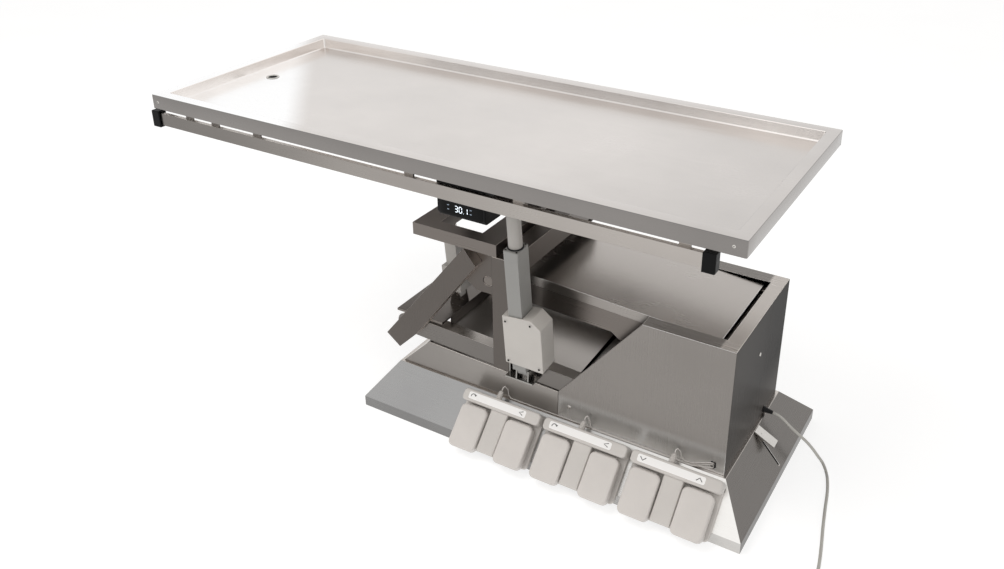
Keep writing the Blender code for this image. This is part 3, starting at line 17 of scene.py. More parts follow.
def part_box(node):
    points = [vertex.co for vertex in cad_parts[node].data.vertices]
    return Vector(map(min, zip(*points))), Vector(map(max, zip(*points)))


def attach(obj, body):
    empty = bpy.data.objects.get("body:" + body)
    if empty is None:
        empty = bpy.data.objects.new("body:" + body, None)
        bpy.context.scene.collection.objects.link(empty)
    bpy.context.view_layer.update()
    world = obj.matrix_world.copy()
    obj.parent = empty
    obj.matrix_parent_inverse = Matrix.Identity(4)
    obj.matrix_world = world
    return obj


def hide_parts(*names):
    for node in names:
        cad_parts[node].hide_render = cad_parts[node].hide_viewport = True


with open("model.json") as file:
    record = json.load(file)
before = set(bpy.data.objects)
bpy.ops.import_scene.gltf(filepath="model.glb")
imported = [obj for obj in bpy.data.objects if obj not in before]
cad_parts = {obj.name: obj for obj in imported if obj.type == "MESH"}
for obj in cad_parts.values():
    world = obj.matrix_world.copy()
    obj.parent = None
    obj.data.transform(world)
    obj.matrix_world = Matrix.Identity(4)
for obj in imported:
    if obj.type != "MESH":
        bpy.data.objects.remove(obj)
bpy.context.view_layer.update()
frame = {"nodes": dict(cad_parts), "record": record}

bl_info = {
    "name": "Operating table",
    "version": (1, 0, 0),
    "blender": (4, 5, 0),
    "location": "View3D > Sidebar > Table",
    "description": "Dresses the packed operating table in brushed steel, plastic and cord",
    "category": "Object",
}

IMAGE = (1004, 569)
PEDESTAL_X = (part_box("base_skirt")[0].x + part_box("base_skirt")[1].x) / 2
FIT = 0.0003

# Places below are counted from the middle of the pedestal, in metres.  The pedals' sizes are in the
# axes of the front slope, with X along it, Y up it and Z out of it.
SLOPE_FOOT_Z = 0.026
SLOPE_TOP_Z = 0.1006
SLOPE_RUN = 0.075

# Mains lead: the route over the skirt and the floor, the coil of three layers and the plug.
MAINS_EXIT = (0.4098, 0.0740, 0.1082)
MAINS_ROUTE = (
    (0.4098, 0.0740, 0.1082), (0.4158, 0.0743, 0.1074), (0.4240, 0.0756, 0.1038), (0.4340, 0.0775, 0.0960),
    (0.4500, 0.0810, 0.0805), (0.4660, 0.0840, 0.0675), (0.4850, 0.0890, 0.0510), (0.4990, 0.0940, 0.0340),
    (0.5110, 0.0975, 0.0175), (0.5225, 0.0960, 0.0065), (0.5320, 0.0840, 0.0036), (0.5395, 0.0690, 0.0036),
    (0.5470, 0.0500, 0.0036), (0.5570, 0.0130, 0.0036), (0.5670, -0.0400, 0.0036), (0.5780, -0.0950, 0.0036),
    (0.5900, -0.1500, 0.0036), (0.6000, -0.2050, 0.0036), (0.6060, -0.2620, 0.0036),
    (0.6060, -0.3028, 0.0036))
COIL_CENTRE = (0.568, -0.338)
COIL_OUTER = 0.0459
COIL_INNER = 0.0258
COIL_TURNS = 2.97
LAYERS_Z = (0.0036, 0.01025, 0.0169)
PLUG_X = 0.532
PLUG_BACK_Y = -0.3913
PLUG_Z = 0.0133
PLUG_LONG = 0.040

# Display: the lit bars of each digit, and each bar's ends on a grid of two by three.
DISPLAY_CENTRE = (-0.1560, 0.5885)
GLASS_HALF = (0.0500, 0.0165)
DIGIT_CELL = 0.0062
DIGIT_GAP = 0.0036
DISPLAY_DIGITS = ("abcdg", "abcdef", "", "bc")
SEGMENTS = {
    "a": ((0, 2), (1, 2)), "b": ((1, 2), (1, 1)), "c": ((1, 1), (1, 0)), "d": ((0, 0), (1, 0)),
    "e": ((0, 1), (0, 0)), "f": ((0, 2), (0, 1)), "g": ((0, 1), (1, 1)),
}

# Pedals: left ends of the units, the body, the pads and the label strip.
PEDAL_UNITS_X = (-0.202, 0.002, 0.206)
PEDAL_LONG = 0.194
PEDAL_SPAN = (-0.022, 0.098)
BAR_WIDE = 0.0270
BAR_TOP = 0.0335
WEB_HALF = 0.0215
PAD_LONG = 0.066
PAD_SPAN = (-0.030, 0.066)
PAD_MARGIN = 0.007
PAD_FOOT = 0.0155
PAD_TOP = 0.0333
PAD_CORNER = 0.0125
LABEL_SPAN = (0.0150, 0.1600)
LABEL_Y = 0.0850
LABEL_HALF = 0.0078
SYMBOL_INSET = 0.012

# Base: the deck of the plinth, which runs on into the housing, and the slot for the pedals' leads.
DECK_START = 0.0135
DECK_LONG = 0.085
DECK_HALF = 0.1540
DECK_Z = 0.1438
DECK_THICK = 0.0012
LEAD_SLOT = (0.3640, -0.1600, 0.1180)

# Side cylinder: its pins, the rod's sleeve, the head over the tube and the screws of the motor case.
SIDE_X = -0.052
SIDE_FOOT = (-0.190, 0.213)
SIDE_TOP = (-0.232, 0.618)
ROD_SPAN = (0.120, 0.385)
CAP_Z = (0.2890, 0.3100)
CASE_SCREWS = ((-0.0215, 0.139), (0.0370, 0.146), (0.0520, 0.040), (-0.0215, 0.038))

# A colour that fades from one into another along an axis, used for painted light and shade; the way of
# the painted glare over the tray; and the turn that stands a flat piece up to face the front.
Fade = namedtuple("Fade", "axis low high first last")
AXES = {"x": (1, 0, 0), "y": (0, 1, 0), "z": (0, 0, 1)}
GLARE_WAY = (0.771, 0.637, 0)
STANDING = Matrix(((1, 0, 0, 0), (0, 0, -1, 0), (0, 1, 0, 0), (0, 0, 0, 1)))


def metres(name, description, default, low=0.0001):
    """A length that a user can change."""
    return FloatProperty(name=name, description=description, default=default, min=low, unit="LENGTH")


def paint(name, description, default):
    """A linear colour that a user can change."""
    return FloatVectorProperty(name=name, description=description, default=default, min=0, max=1,
                               subtype="COLOR")


class TableSizes(bpy.types.PropertyGroup):
    """Sizes of the details that the frame doesn't hold."""

    sheet_edge: metres("Sheet edge", "Rounding of folded sheet", 0.0007)
    plate_edge: metres("Plate edge", "Rounding of thick plates and bars", 0.0009)
    skirt_edge: metres("Skirt edge", "Rounding of the base skirt's folds", 0.0012)
    fold_edge: metres("Fold edge", "Rounding of the folds of plinth and housing", 0.0013)
    bore_edge: metres("Bore edge", "Rounding of the lift cylinder's ends", 0.0015)
    cover_edge: metres("Cover edge", "Rounding of the arm cover and of the side cylinder", 0.0016)
    tube_edge: metres("Tube edge", "Rounding of square tubes", 0.0020)
    body_edge: metres("Body edge", "Rounding of the end cylinder's body", 0.0022)
    ring_edge: metres("Ring edge", "Rounding of the tilt ring", 0.0024)
    box_edge: metres("Box edge", "Rounding of the display box", 0.0028)
    cap_edge: metres("Cap edge", "Rounding of the rail caps and of the side motor's case", 0.0032)
    rim_edge: metres("Rim edge", "Rounding along the top of the tray's rim", 0.0018)
    tray_fillet: metres("Tray fillet", "Fillet between the tray's wall and floor", 0.004)
    pad_edge: metres("Pad edge", "Rounding round the top of a pad", 0.0045)
    pad_crown: metres("Pad crown", "Rise of a pad's middle over its edge", 0.0012, 0)
    cord_radius: metres("Cord radius", "Half the mains lead's width", 0.00325, 0.001)
    round_sides: IntProperty(name="Round sides", description="Faces round a turned piece", default=48,
                             min=12)


class TableColours(bpy.types.PropertyGroup):
    """Colours of the finishes, as linear values."""

    tray: paint("Tray", "Brushed steel of the tray", (0.66, 0.625, 0.60))
    sheet: paint("Sheet", "Brushed steel of the covers", (0.27, 0.252, 0.236))
    frame: paint("Frame", "Darker steel of struts and ring", (0.145, 0.130, 0.119))
    bright: paint("Bright", "Bright small steel parts", (0.60, 0.58, 0.55))
    pedal: paint("Pedal", "Moulded grey of the pedals", (0.56, 0.535, 0.51))
    pad: paint("Pad", "Moulded grey of the pads", (0.60, 0.57, 0.545))
    tube: paint("Tube", "Painted cylinder tubes", (0.235, 0.232, 0.222))
    motor: paint("Motor case", "Moulded grey of the motor cases", (0.47, 0.447, 0.42))
    black: paint("Black", "Black plastic and rubber", (0.005, 0.005, 0.0053))
    cord: paint("Cord", "Grey of the leads", (0.46, 0.45, 0.42))
    label: paint("Label", "White of the pedals' label strips", (0.86, 0.85, 0.84))
    ink: paint("Ink", "Dark ink of the symbols", (0.03, 0.03, 0.032))


class StageSettings(bpy.types.PropertyGroup):
    """Camera, lamps and backdrop."""

    camera_place: FloatVectorProperty(name="Camera place", description="Where the camera stands",
                                      subtype="TRANSLATION", unit="LENGTH",
                                      default=(1.09275, -1.6446, 1.4123))
    camera_yaw: FloatProperty(name="Yaw", description="Camera's turn about the vertical", subtype="ANGLE",
                              default=radians(30.581))
    camera_pitch: FloatProperty(name="Pitch", description="Camera's tilt below the horizon", subtype="ANGLE",
                                default=radians(25.611))
    focal_pixels: FloatProperty(name="Focal length", description="Focal length in pixels of the photograph",
                                default=975.24)
    image_centre: FloatVectorProperty(name="Image centre", description="Principal point in pixels", size=2,
                                      default=(535.0, 206.0))
    ambient: FloatProperty(name="Ambient", description="World light on plain surfaces", default=0.62, min=0)
    key_power: FloatProperty(name="Key power", description="Power of the large lamp overhead", default=44.0,
                             min=0, unit="POWER")
    fill_power: FloatProperty(name="Fill power", description="Power of the lamp by the camera", default=19.0,
                              min=0, unit="POWER")


def sizes():
    """The table's sizes as set in the scene."""
    return bpy.context.scene.table_sizes


def colours():
    """The table's colours as set in the scene."""
    return bpy.context.scene.table_colours


def span(node):
    """The lowest and highest corner of a CAD node."""
    low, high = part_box(node)
    return np.array(low), np.array(high)


def local(x, y, z):
    """A point given from the middle of the pedestal, in the frame of the model."""
    return np.array((x + PEDESTAL_X, y, z))


def grid_mesh(name, points, closed_rows=False, closed_columns=False):
    """A mesh over a grid of points: each cell between neighbouring rows and columns is one quad."""
    rows, columns = points.shape[:2]
    index = np.arange(rows * columns).reshape(rows, columns)
    if closed_rows:
        index = np.vstack((index, index[:1]))
    if closed_columns:
        index = np.hstack((index, index[:, :1]))
    quads = np.stack((index[:-1, :-1], index[:-1, 1:], index[1:, 1:], index[1:, :-1]), axis=-1)
    mesh = bpy.data.meshes.new(name)
    mesh.from_pydata(points.reshape(-1, 3).tolist(), [], quads.reshape(-1, 4).tolist())
    return clean(mesh)


def clean(mesh):
    """Merges the points that coincide, drops empty faces and points all faces outwards."""
    bm = bmesh.new()
    bm.from_mesh(mesh)
    bmesh.ops.remove_doubles(bm, verts=bm.verts, dist=2e-6)
    bmesh.ops.dissolve_degenerate(bm, edges=bm.edges, dist=1e-7)
    bmesh.ops.recalc_face_normals(bm, faces=bm.faces)
    bm.to_mesh(mesh)
    bm.free()
    return mesh


def joined(name, meshes):
    """One mesh made of several closed ones."""
    bm = bmesh.new()
    for mesh in meshes:
        bm.from_mesh(mesh)
        bpy.data.meshes.remove(mesh)
    mesh = bpy.data.meshes.new(name)
    bm.to_mesh(mesh)
    bm.free()
    return mesh


def place(mesh, matrix):
    """Puts a matrix into the points of a mesh."""
    mesh.transform(Matrix(matrix))
    return mesh


def piece(name, mesh, body, material, replaces=(), sharp=32):
    """An object at the origin that rides on a body, with its material and its shading."""
    item = bpy.data.objects.new(name, mesh)
    bpy.context.scene.collection.objects.link(item)
    mesh.materials.clear()
    mesh.materials.append(material)
    mesh.shade_smooth()
    mesh.set_sharp_from_angle(angle=radians(sharp))
    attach(item, body)
    if replaces:
        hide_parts(*replaces)
    return item


def body_of(node):
    """The CAD body that a node belongs to."""
    bodies = frame["record"]["behaviour"]["bodies"]
    return next(body for body, members in bodies.items() if node in members)


def dressed(node, material, edge, segments=2, sharp=32, whole=True):
    """A copy of a CAD node with merged points, whole flat faces and rounded edges."""
    source = frame["nodes"][node].data
    mesh = source.copy()
    mesh.name = f"{node}_skin"
    old_normals = mesh.attributes.get("custom_normal")
    if old_normals:
        mesh.attributes.remove(old_normals)
    bm = bmesh.new()
    bm.from_mesh(mesh)
    bmesh.ops.remove_doubles(bm, verts=bm.verts, dist=1e-5)
    if whole:
        bmesh.ops.dissolve_limit(bm, angle_limit=radians(0.4), verts=bm.verts, edges=bm.edges)
    bm.to_mesh(mesh)
    bm.free()
    item = piece(f"{node}_skin", mesh, body_of(node), material, (node,), sharp)
    if edge:
        bevel = item.modifiers.new("edges", "BEVEL")
        bevel.width = edge
        bevel.segments = segments
        bevel.limit_method = "ANGLE"
        bevel.angle_limit = radians(sharp)
        bevel.use_clamp_overlap = True
        bevel.harden_normals = True
    return item


def dress(*rows):
    """Dresses nodes: each row has the nodes' names, their finish, their edge and its segments."""
    for names, finish, edge, *segments in rows:
        for node in names.split():
            dressed(node, look(finish), getattr(sizes(), edge), *segments)


def rounded_loop(half_x, half_y, radius, steps=6, per_side=1):
    """Points round a rectangle with quarter-round corners: each corner's centre plus a turning radius."""
    turn = np.linspace(0, pi / 2, steps + 1)
    parts = []
    corners = ((1, 1), (-1, 1), (-1, -1), (1, -1))
    for number, (sx, sy) in enumerate(corners):
        angle = turn + number * pi / 2
        middle = np.array((sx * (half_x - radius), sy * (half_y - radius)))
        arc = middle + radius * np.stack((np.cos(angle), np.sin(angle)), axis=-1)
        nx, ny = corners[(number + 1) % 4]
        following = np.array((nx * (half_x - radius), ny * (half_y - radius)))
        last = angle[-1]
        goal = following + radius * np.array((cos(last), sin(last)))
        share = np.linspace(0, 1, per_side + 1)[1:-1, None]
        parts.extend((arc, arc[-1] + share * (goal - arc[-1])))
    return np.vstack(parts)


def slab_loops(half_x, half_y, radius, rows, steps=6):
    """Rings of one rounded outline, each at its (inset, height)."""
    loops = []
    for inset, height in rows:
        loop = rounded_loop(half_x - inset, half_y - inset, max(radius - inset, 0.0004), steps)
        loops.append(np.column_stack((loop, np.full(len(loop), height))))
    return loops


def capped(name, loops, top_rise=0.0, rings=4):
    """A closed mesh through loops, whose ends run to their middles on shrinking copies of the end loops."""
    first, last = loops[0], loops[-1]
    middle_low, middle_high = first.mean(axis=0), last.mean(axis=0)
    shares = np.linspace(1, 0, rings + 1)[1:]
    under = [middle_low + share * (first - middle_low) for share in shares[::-1]]
    over = []
    for share in shares:
        ring = middle_high + share * (last - middle_high)
        ring[:, 2] += top_rise * (1 - share ** 2)
        over.append(ring)
    return grid_mesh(name, np.array(under + list(loops) + over), closed_columns=True)


def turned_mesh(name, profile, start, direction, sides=None):
    """A piece turned about an axis: each profile point is (radius, way along the axis)."""
    sides = sides or sizes().round_sides
    profile = np.array(profile)
    angle = np.linspace(0, 2 * pi, sides, endpoint=False)
    axis = Vector(direction).normalized()
    matrix = axis.to_track_quat("Z", "Y").to_matrix().to_4x4()
    x = profile[:, 0][:, None] * np.cos(angle)
    y = profile[:, 0][:, None] * np.sin(angle)
    z = np.repeat(profile[:, 1][:, None], sides, axis=1)
    mesh = grid_mesh(name, np.stack((x, y, z), axis=-1), closed_columns=True)
    return place(mesh, Matrix.Translation(Vector(start)) @ matrix)


def block_mesh(name, low, high, edge):
    """A box with round edges: a sphere's normals times the edge radius, pushed out to the box's corners."""
    low, high = np.array(low, float), np.array(high, float)
    middle, half = (low + high) / 2, (high - low) / 2
    edge = min(edge, half.min() * 0.98)
    quarter = np.linspace(0, pi / 2, 4)
    turn = np.concatenate([quarter + k * pi / 2 for k in range(4)])
    sign_x = np.repeat((1, -1, -1, 1), len(quarter))
    sign_y = np.repeat((1, 1, -1, -1), len(quarter))
    rise = np.concatenate((quarter - pi / 2, quarter))
    sign_z = np.repeat((-1, 1), len(quarter))
    inner = half - edge
    x = sign_x * inner[0] + edge * np.cos(rise)[:, None] * np.cos(turn)
    y = sign_y * inner[1] + edge * np.cos(rise)[:, None] * np.sin(turn)
    z = np.repeat((sign_z * inner[2] + edge * np.sin(rise))[:, None], len(turn), axis=1)
    points = middle + np.stack((x, y, z), axis=-1)
    ends = [np.repeat((middle + np.array((0, 0, s * half[2])))[None], len(turn), axis=0) for s in (-1, 1)]
    return grid_mesh(name, np.vstack((ends[0][None], points, ends[1][None])), closed_columns=True)


def smooth_path(points, step):
    """Points about a step apart on a Catmull-Rom curve through the given ones."""
    route = np.array(points, float)
    route = np.vstack((2 * route[0] - route[1], route, 2 * route[-1] - route[-2]))
    result = [route[1][None]]
    for a, b, c, d in zip(route, route[1:], route[2:], route[3:]):
        count = max(1, int(np.ceil(np.linalg.norm(c - b) / step)))
        t = (np.arange(1, count + 1) / count)[:, None]
        result.append(0.5 * (2 * b + (c - a) * t + (2 * a - 5 * b + 4 * c - d) * t ** 2
                             + (3 * b - a - 3 * c + d) * t ** 3))
    return np.vstack(result)


class NodeGroup:
    """Fills a shader node tree; each value is a socket to link or a constant to set."""

    def __init__(self, tree):
        self.tree = tree

    def add(self, kind, **settings):
        """A new node with its settings."""
        node = self.tree.nodes.new(kind)
        for key, value in settings.items():
            setattr(node, key, value)
        return node

    def link(self, source, target):
        """Joins two sockets."""
        self.tree.links.new(source, target)

    def feed(self, socket, value):
        """Links a socket, or sets a colour or a number in it."""
        if hasattr(value, "is_linked"):
            self.link(value, socket)
        elif socket.type == "RGBA" and len(value) == 3:
            socket.default_value = (*value, 1)
        else:
            socket.default_value = value

    def math(self, operation, *values):
        """An operation on one or two numbers."""
        node = self.add("ShaderNodeMath", operation=operation)
        for socket, value in zip(node.inputs, values):
            self.feed(socket, value)
        return node.outputs[0]

    def vector(self, operation, first, second):
        """An operation on two vectors."""
        node = self.add("ShaderNodeVectorMath", operation=operation)
        self.feed(node.inputs[0], first)
        self.feed(node.inputs[1], second)
        return node.outputs["Value" if operation == "DOT_PRODUCT" else "Vector"]

    def mix(self, factor, first, second, kind="RGBA", blend="MIX"):
        """A mix of two colours or two vectors."""
        node = self.add("ShaderNodeMix", data_type=kind, blend_type=blend)
        first_at, second_at, out_at = {"RGBA": (6, 7, 2), "VECTOR": (4, 5, 1)}[kind]
        for at, value in ((0, factor), (first_at, first), (second_at, second)):
            self.feed(node.inputs[at], value)
        return node.outputs[out_at]

    def grey(self, level):
        """A colour whose three channels are one level."""
        node = self.add("ShaderNodeCombineColor")
        for socket in node.inputs:
            self.link(level, socket)
        return node.outputs[0]

    def times(self, colour, level):
        """A colour made lighter or darker by a level."""
        return self.mix(1.0, colour, self.grey(level), blend="MULTIPLY")

    def noise(self, vector, scale, detail=2.0, roughness=0.5):
        """Soft noise between 0 and 1."""
        node = self.add("ShaderNodeTexNoise")
        for name, value in (("Vector", vector), ("Scale", scale), ("Detail", detail),
                            ("Roughness", roughness)):
            self.feed(node.inputs[name], value)
        return node.outputs["Fac"]

    def range(self, value, low, high, to_low, to_high, curve="LINEAR"):
        """A value carried from one range to another."""
        node = self.add("ShaderNodeMapRange", interpolation_type=curve)
        names = ("Value", "From Min", "From Max", "To Min", "To Max")
        for name, number in zip(names, (value, low, high, to_low, to_high)):
            self.feed(node.inputs[name], number)
        return node.outputs["Result"]

    def bump(self, shader, height, strength, distance):
        """Fine relief on the shader's normal."""
        node = self.add("ShaderNodeBump")
        for name, value in (("Strength", strength), ("Distance", distance), ("Height", height)):
            self.feed(node.inputs[name], value)
        self.link(node.outputs["Normal"], shader.inputs["Normal"])


def new_group(name, inputs, outputs):
    """A shader node group with named sockets, and the helper that fills it."""
    tree = bpy.data.node_groups.new(name, "ShaderNodeTree")
    for label, kind, value in inputs:
        socket = tree.interface.new_socket(label, in_out="INPUT", socket_type=kind)
        if value is not None:
            socket.default_value = value
    for label, kind in outputs:
        tree.interface.new_socket(label, in_out="OUTPUT", socket_type=kind)
    build = NodeGroup(tree)
    return tree, build, build.add("NodeGroupInput"), build.add("NodeGroupOutput")


RUNS = {
    "x": ((7.0, 900.0, 900.0), (900.0, 7.0, 900.0), (1.0, 0.0, 0.0)),
    "z": ((900.0, 900.0, 7.0), (7.0, 900.0, 900.0), (0.0, 0.0, 1.0)),
}


def grain_group():
    """Brushed lines: noise stretched along the run, and along a second run on faces square to the first."""
    run, cross, axis = RUNS["x"]
    tree, build, given, result = new_group("brushed grain", [
        ("Vector", "NodeSocketVector", None), ("Normal", "NodeSocketVector", None),
        ("Run", "NodeSocketVector", run), ("Cross run", "NodeSocketVector", cross),
        ("Run axis", "NodeSocketVector", axis)],
        [("Grain", "NodeSocketFloat"), ("Streaks", "NodeSocketFloat")])
    facing = build.vector("DOT_PRODUCT", given.outputs["Normal"], given.outputs["Run axis"])
    mask = build.math("GREATER_THAN", build.math("ABSOLUTE", facing), 0.7)
    stretch = build.mix(mask, given.outputs["Run"], given.outputs["Cross run"], kind="VECTOR")
    vector = build.vector("MULTIPLY", given.outputs["Vector"], stretch)
    build.link(build.noise(vector, 1.0, 3.0, 0.7), result.inputs["Grain"])
    wide = build.vector("MULTIPLY", vector, (0.35, 0.12, 0.12))
    build.link(build.noise(wide, 1.0, 2.0, 0.6), result.inputs["Streaks"])
    return tree


def marks_group():
    """Soft clouds of handling marks, from two sizes of noise."""
    tree, build, given, result = new_group("handling marks", [
        ("Vector", "NodeSocketVector", None), ("Scale", "NodeSocketFloat", 6.0)],
        [("Clouds", "NodeSocketFloat"), ("Spots", "NodeSocketFloat")])
    vector = build.vector("MULTIPLY", given.outputs["Vector"], given.outputs["Scale"])
    build.link(build.noise(vector, 1.0, 3.0, 0.6), result.inputs["Clouds"])
    spots = build.range(build.noise(vector, 9.0), 0.62, 0.78, 0.0, 1.0)
    build.link(spots, result.inputs["Spots"])
    return tree


def face_shade_group():
    """Painted shade by facing: a tone for tops, long sides and ends, chosen by the face's normal.

    Upright faces take a share of their tone as painted shade, and the narrow faces of rounded edges get a
    painted highlight from the glint.
    """
    tree, build, given, result = new_group("face tones", [
        ("Normal", "NodeSocketVector", None), ("Top", "NodeSocketColor", (0.6, 0.6, 0.6, 1)),
        ("Side", "NodeSocketColor", (0.3, 0.3, 0.3, 1)), ("End", "NodeSocketColor", (0.2, 0.2, 0.2, 1)),
        ("Upright", "NodeSocketFloat", 1.0), ("Glint", "NodeSocketFloat", 0.0)],
        [("Colour", "NodeSocketColor"), ("End face", "NodeSocketFloat")])
    parts = build.add("ShaderNodeSeparateXYZ")
    build.link(given.outputs["Normal"], parts.inputs[0])
    across, along, upward = (build.math("ABSOLUTE", parts.outputs[k]) for k in range(3))
    endward = build.range(build.math("SUBTRACT", across, along), -0.3, 0.3, 0.0, 1.0, "SMOOTHSTEP")
    wall = build.mix(endward, given.outputs["Side"], given.outputs["End"])
    wall = build.times(wall, build.range(upward, 0.2, 0.6, given.outputs["Upright"], 1.0, "SMOOTHSTEP"))
    edge = build.math("MULTIPLY", build.range(upward, 0.40, 0.60, 0.0, 1.0, "SMOOTHSTEP"),
                      build.range(upward, 0.86, 0.97, 1.0, 0.0, "SMOOTHSTEP"))
    glint = build.math("ADD", build.math("MULTIPLY", edge, given.outputs["Glint"]), 1.0)
    flat = build.range(upward, 0.76, 0.95, 0.0, 1.0, "SMOOTHSTEP")
    colour = build.times(build.mix(flat, wall, given.outputs["Top"]), glint)
    build.link(colour, result.inputs["Colour"])
    build.link(endward, result.inputs["End face"])
    return tree


def mould_group():
    """The fine grain of moulded plastic, with softer swells under it."""
    tree, build, given, result = new_group("moulded grain", [
        ("Vector", "NodeSocketVector", None)], [("Height", "NodeSocketFloat"), ("Swell", "NodeSocketFloat")])
    build.link(build.noise(given.outputs["Vector"], 2600.0, 2.0, 0.6), result.inputs["Height"])
    build.link(build.noise(given.outputs["Vector"], 60.0), result.inputs["Swell"])
    return tree


def new_material(name):
    """A material with its Principled shader, the helper and the object coordinates."""
    material = bpy.data.materials.new(name)
    material.use_nodes = True
    build = NodeGroup(material.node_tree)
    shader = material.node_tree.nodes["Principled BSDF"]
    return material, build, shader, build.add("ShaderNodeTexCoord")


def shared(build, coordinates, name, maker):
    """Places a shared group, made once, in a material and gives it the coordinates that it asks for."""
    node = build.add("ShaderNodeGroup")
    node.node_tree = bpy.data.node_groups.get(name) or maker()
    for given, asked in (("Object", "Vector"), ("Normal", "Normal")):
        if asked in node.inputs:
            build.link(coordinates.outputs[given], node.inputs[asked])
    return node


def toned(build, places, value):
    """A plain colour, or one that fades smoothly into another along an axis of the model."""
    if not isinstance(value, Fade):
        return tuple(value)
    way = build.vector("DOT_PRODUCT", places, AXES.get(value.axis, value.axis))
    share = build.range(way, value.low, value.high, 0.0, 1.0, "SMOOTHSTEP")
    return build.mix(share, toned(build, places, value.first), toned(build, places, value.last))


def steel(name, top, side, end, run="x", rough=(0.24, 0.29), shift=0.014, bump=0.005, upright=1.0,
          end_metal=1.0, metal=1.0, glint=0.0):
    """Brushed stainless steel: stretched grain in its colour, its gloss and its bump, and faint clouds.

    The top, side and end colours, the share on standing faces and the glint are painted light and shade by
    facing.
    """
    material, build, shader, coordinates = new_material(name)
    grain = shared(build, coordinates, "brushed grain", grain_group)
    for socket, value in zip(("Run", "Cross run", "Run axis"), RUNS[run]):
        grain.inputs[socket].default_value = value
    # painted shade: each face takes the top, side or end colour by its facing, and rounded edges a painted
    # glint
    tones = shared(build, coordinates, "face tones", face_shade_group)
    for socket, value in zip(("Top", "Side", "End"), (top, side, end)):
        build.feed(tones.inputs[socket], toned(build, coordinates.outputs["Object"], value))
    tones.inputs["Upright"].default_value = upright
    tones.inputs["Glint"].default_value = glint
    marks = shared(build, coordinates, "handling marks", marks_group)
    marks.inputs["Scale"].default_value = 4.0

    level = build.math("ADD", build.range(grain.outputs["Grain"], 0.3, 0.7, 1 - shift, 1 + shift),
                       build.range(grain.outputs["Streaks"], 0.3, 0.7, -shift * 0.7, shift * 0.7))
    level = build.math("MULTIPLY", level, build.range(marks.outputs["Clouds"], 0.3, 0.7, 0.95, 1.05))
    build.link(build.times(tones.outputs["Colour"], level), shader.inputs["Base Color"])
    gloss = build.range(grain.outputs["Grain"], 0.3, 0.7, rough[0], rough[1])
    gloss = build.math("ADD", gloss, build.range(marks.outputs["Clouds"], 0.35, 0.7, -0.03, 0.05))
    build.link(gloss, shader.inputs["Roughness"])
    shader.inputs["Metallic"].default_value = metal
    if end_metal < 1:
        share = build.range(tones.outputs["End face"], 0.0, 1.0, 1.0, end_metal)
        build.link(share, shader.inputs["Metallic"])
        shader.inputs["Specular IOR Level"].default_value = 0.0
    build.bump(shader, grain.outputs["Grain"], bump, 0.0004)
    return material


def plastic(name, colour, rough=0.42, variation=0.03, bump=0.08, coat=0.0, shine=0.5):
    """Moulded or painted surface: fine grain in its bump, slight clouds in its colour and gloss."""
    material, build, shader, coordinates = new_material(name)
    grain = shared(build, coordinates, "moulded grain", mould_group)
    marks = shared(build, coordinates, "handling marks", marks_group)
    marks.inputs["Scale"].default_value = 14.0
    level = build.range(marks.outputs["Clouds"], 0.3, 0.7, 1 - variation, 1 + variation)
    build.link(build.times(tuple(colour), level), shader.inputs["Base Color"])
    gloss = build.range(grain.outputs["Swell"], 0.3, 0.7, rough - 0.05, rough + 0.05)
    gloss = build.math("ADD", gloss, build.math("MULTIPLY", marks.outputs["Spots"], 0.06))
    build.link(gloss, shader.inputs["Roughness"])
    shader.inputs["Coat Weight"].default_value = coat
    shader.inputs["Specular IOR Level"].default_value = shine
    build.bump(shader, grain.outputs["Height"], bump, 0.0002)
    return material


def glow(name, colour, strength):
    """A lit display segment with a slightly uneven glow."""
    material, build, shader, coordinates = new_material(name)
    uneven = build.noise(coordinates.outputs["Object"], 400.0, 1.0, 0.5)
    lit = build.times(colour, build.range(uneven, 0.3, 0.7, 0.85, 1.0))
    build.link(lit, shader.inputs["Emission Color"])
    build.link(lit, shader.inputs["Base Color"])
    shader.inputs["Emission Strength"].default_value = strength
    return material


def shade(colour, share):
    """A colour made lighter or darker."""
    return tuple(min(1.0, channel * share) for channel in colour)


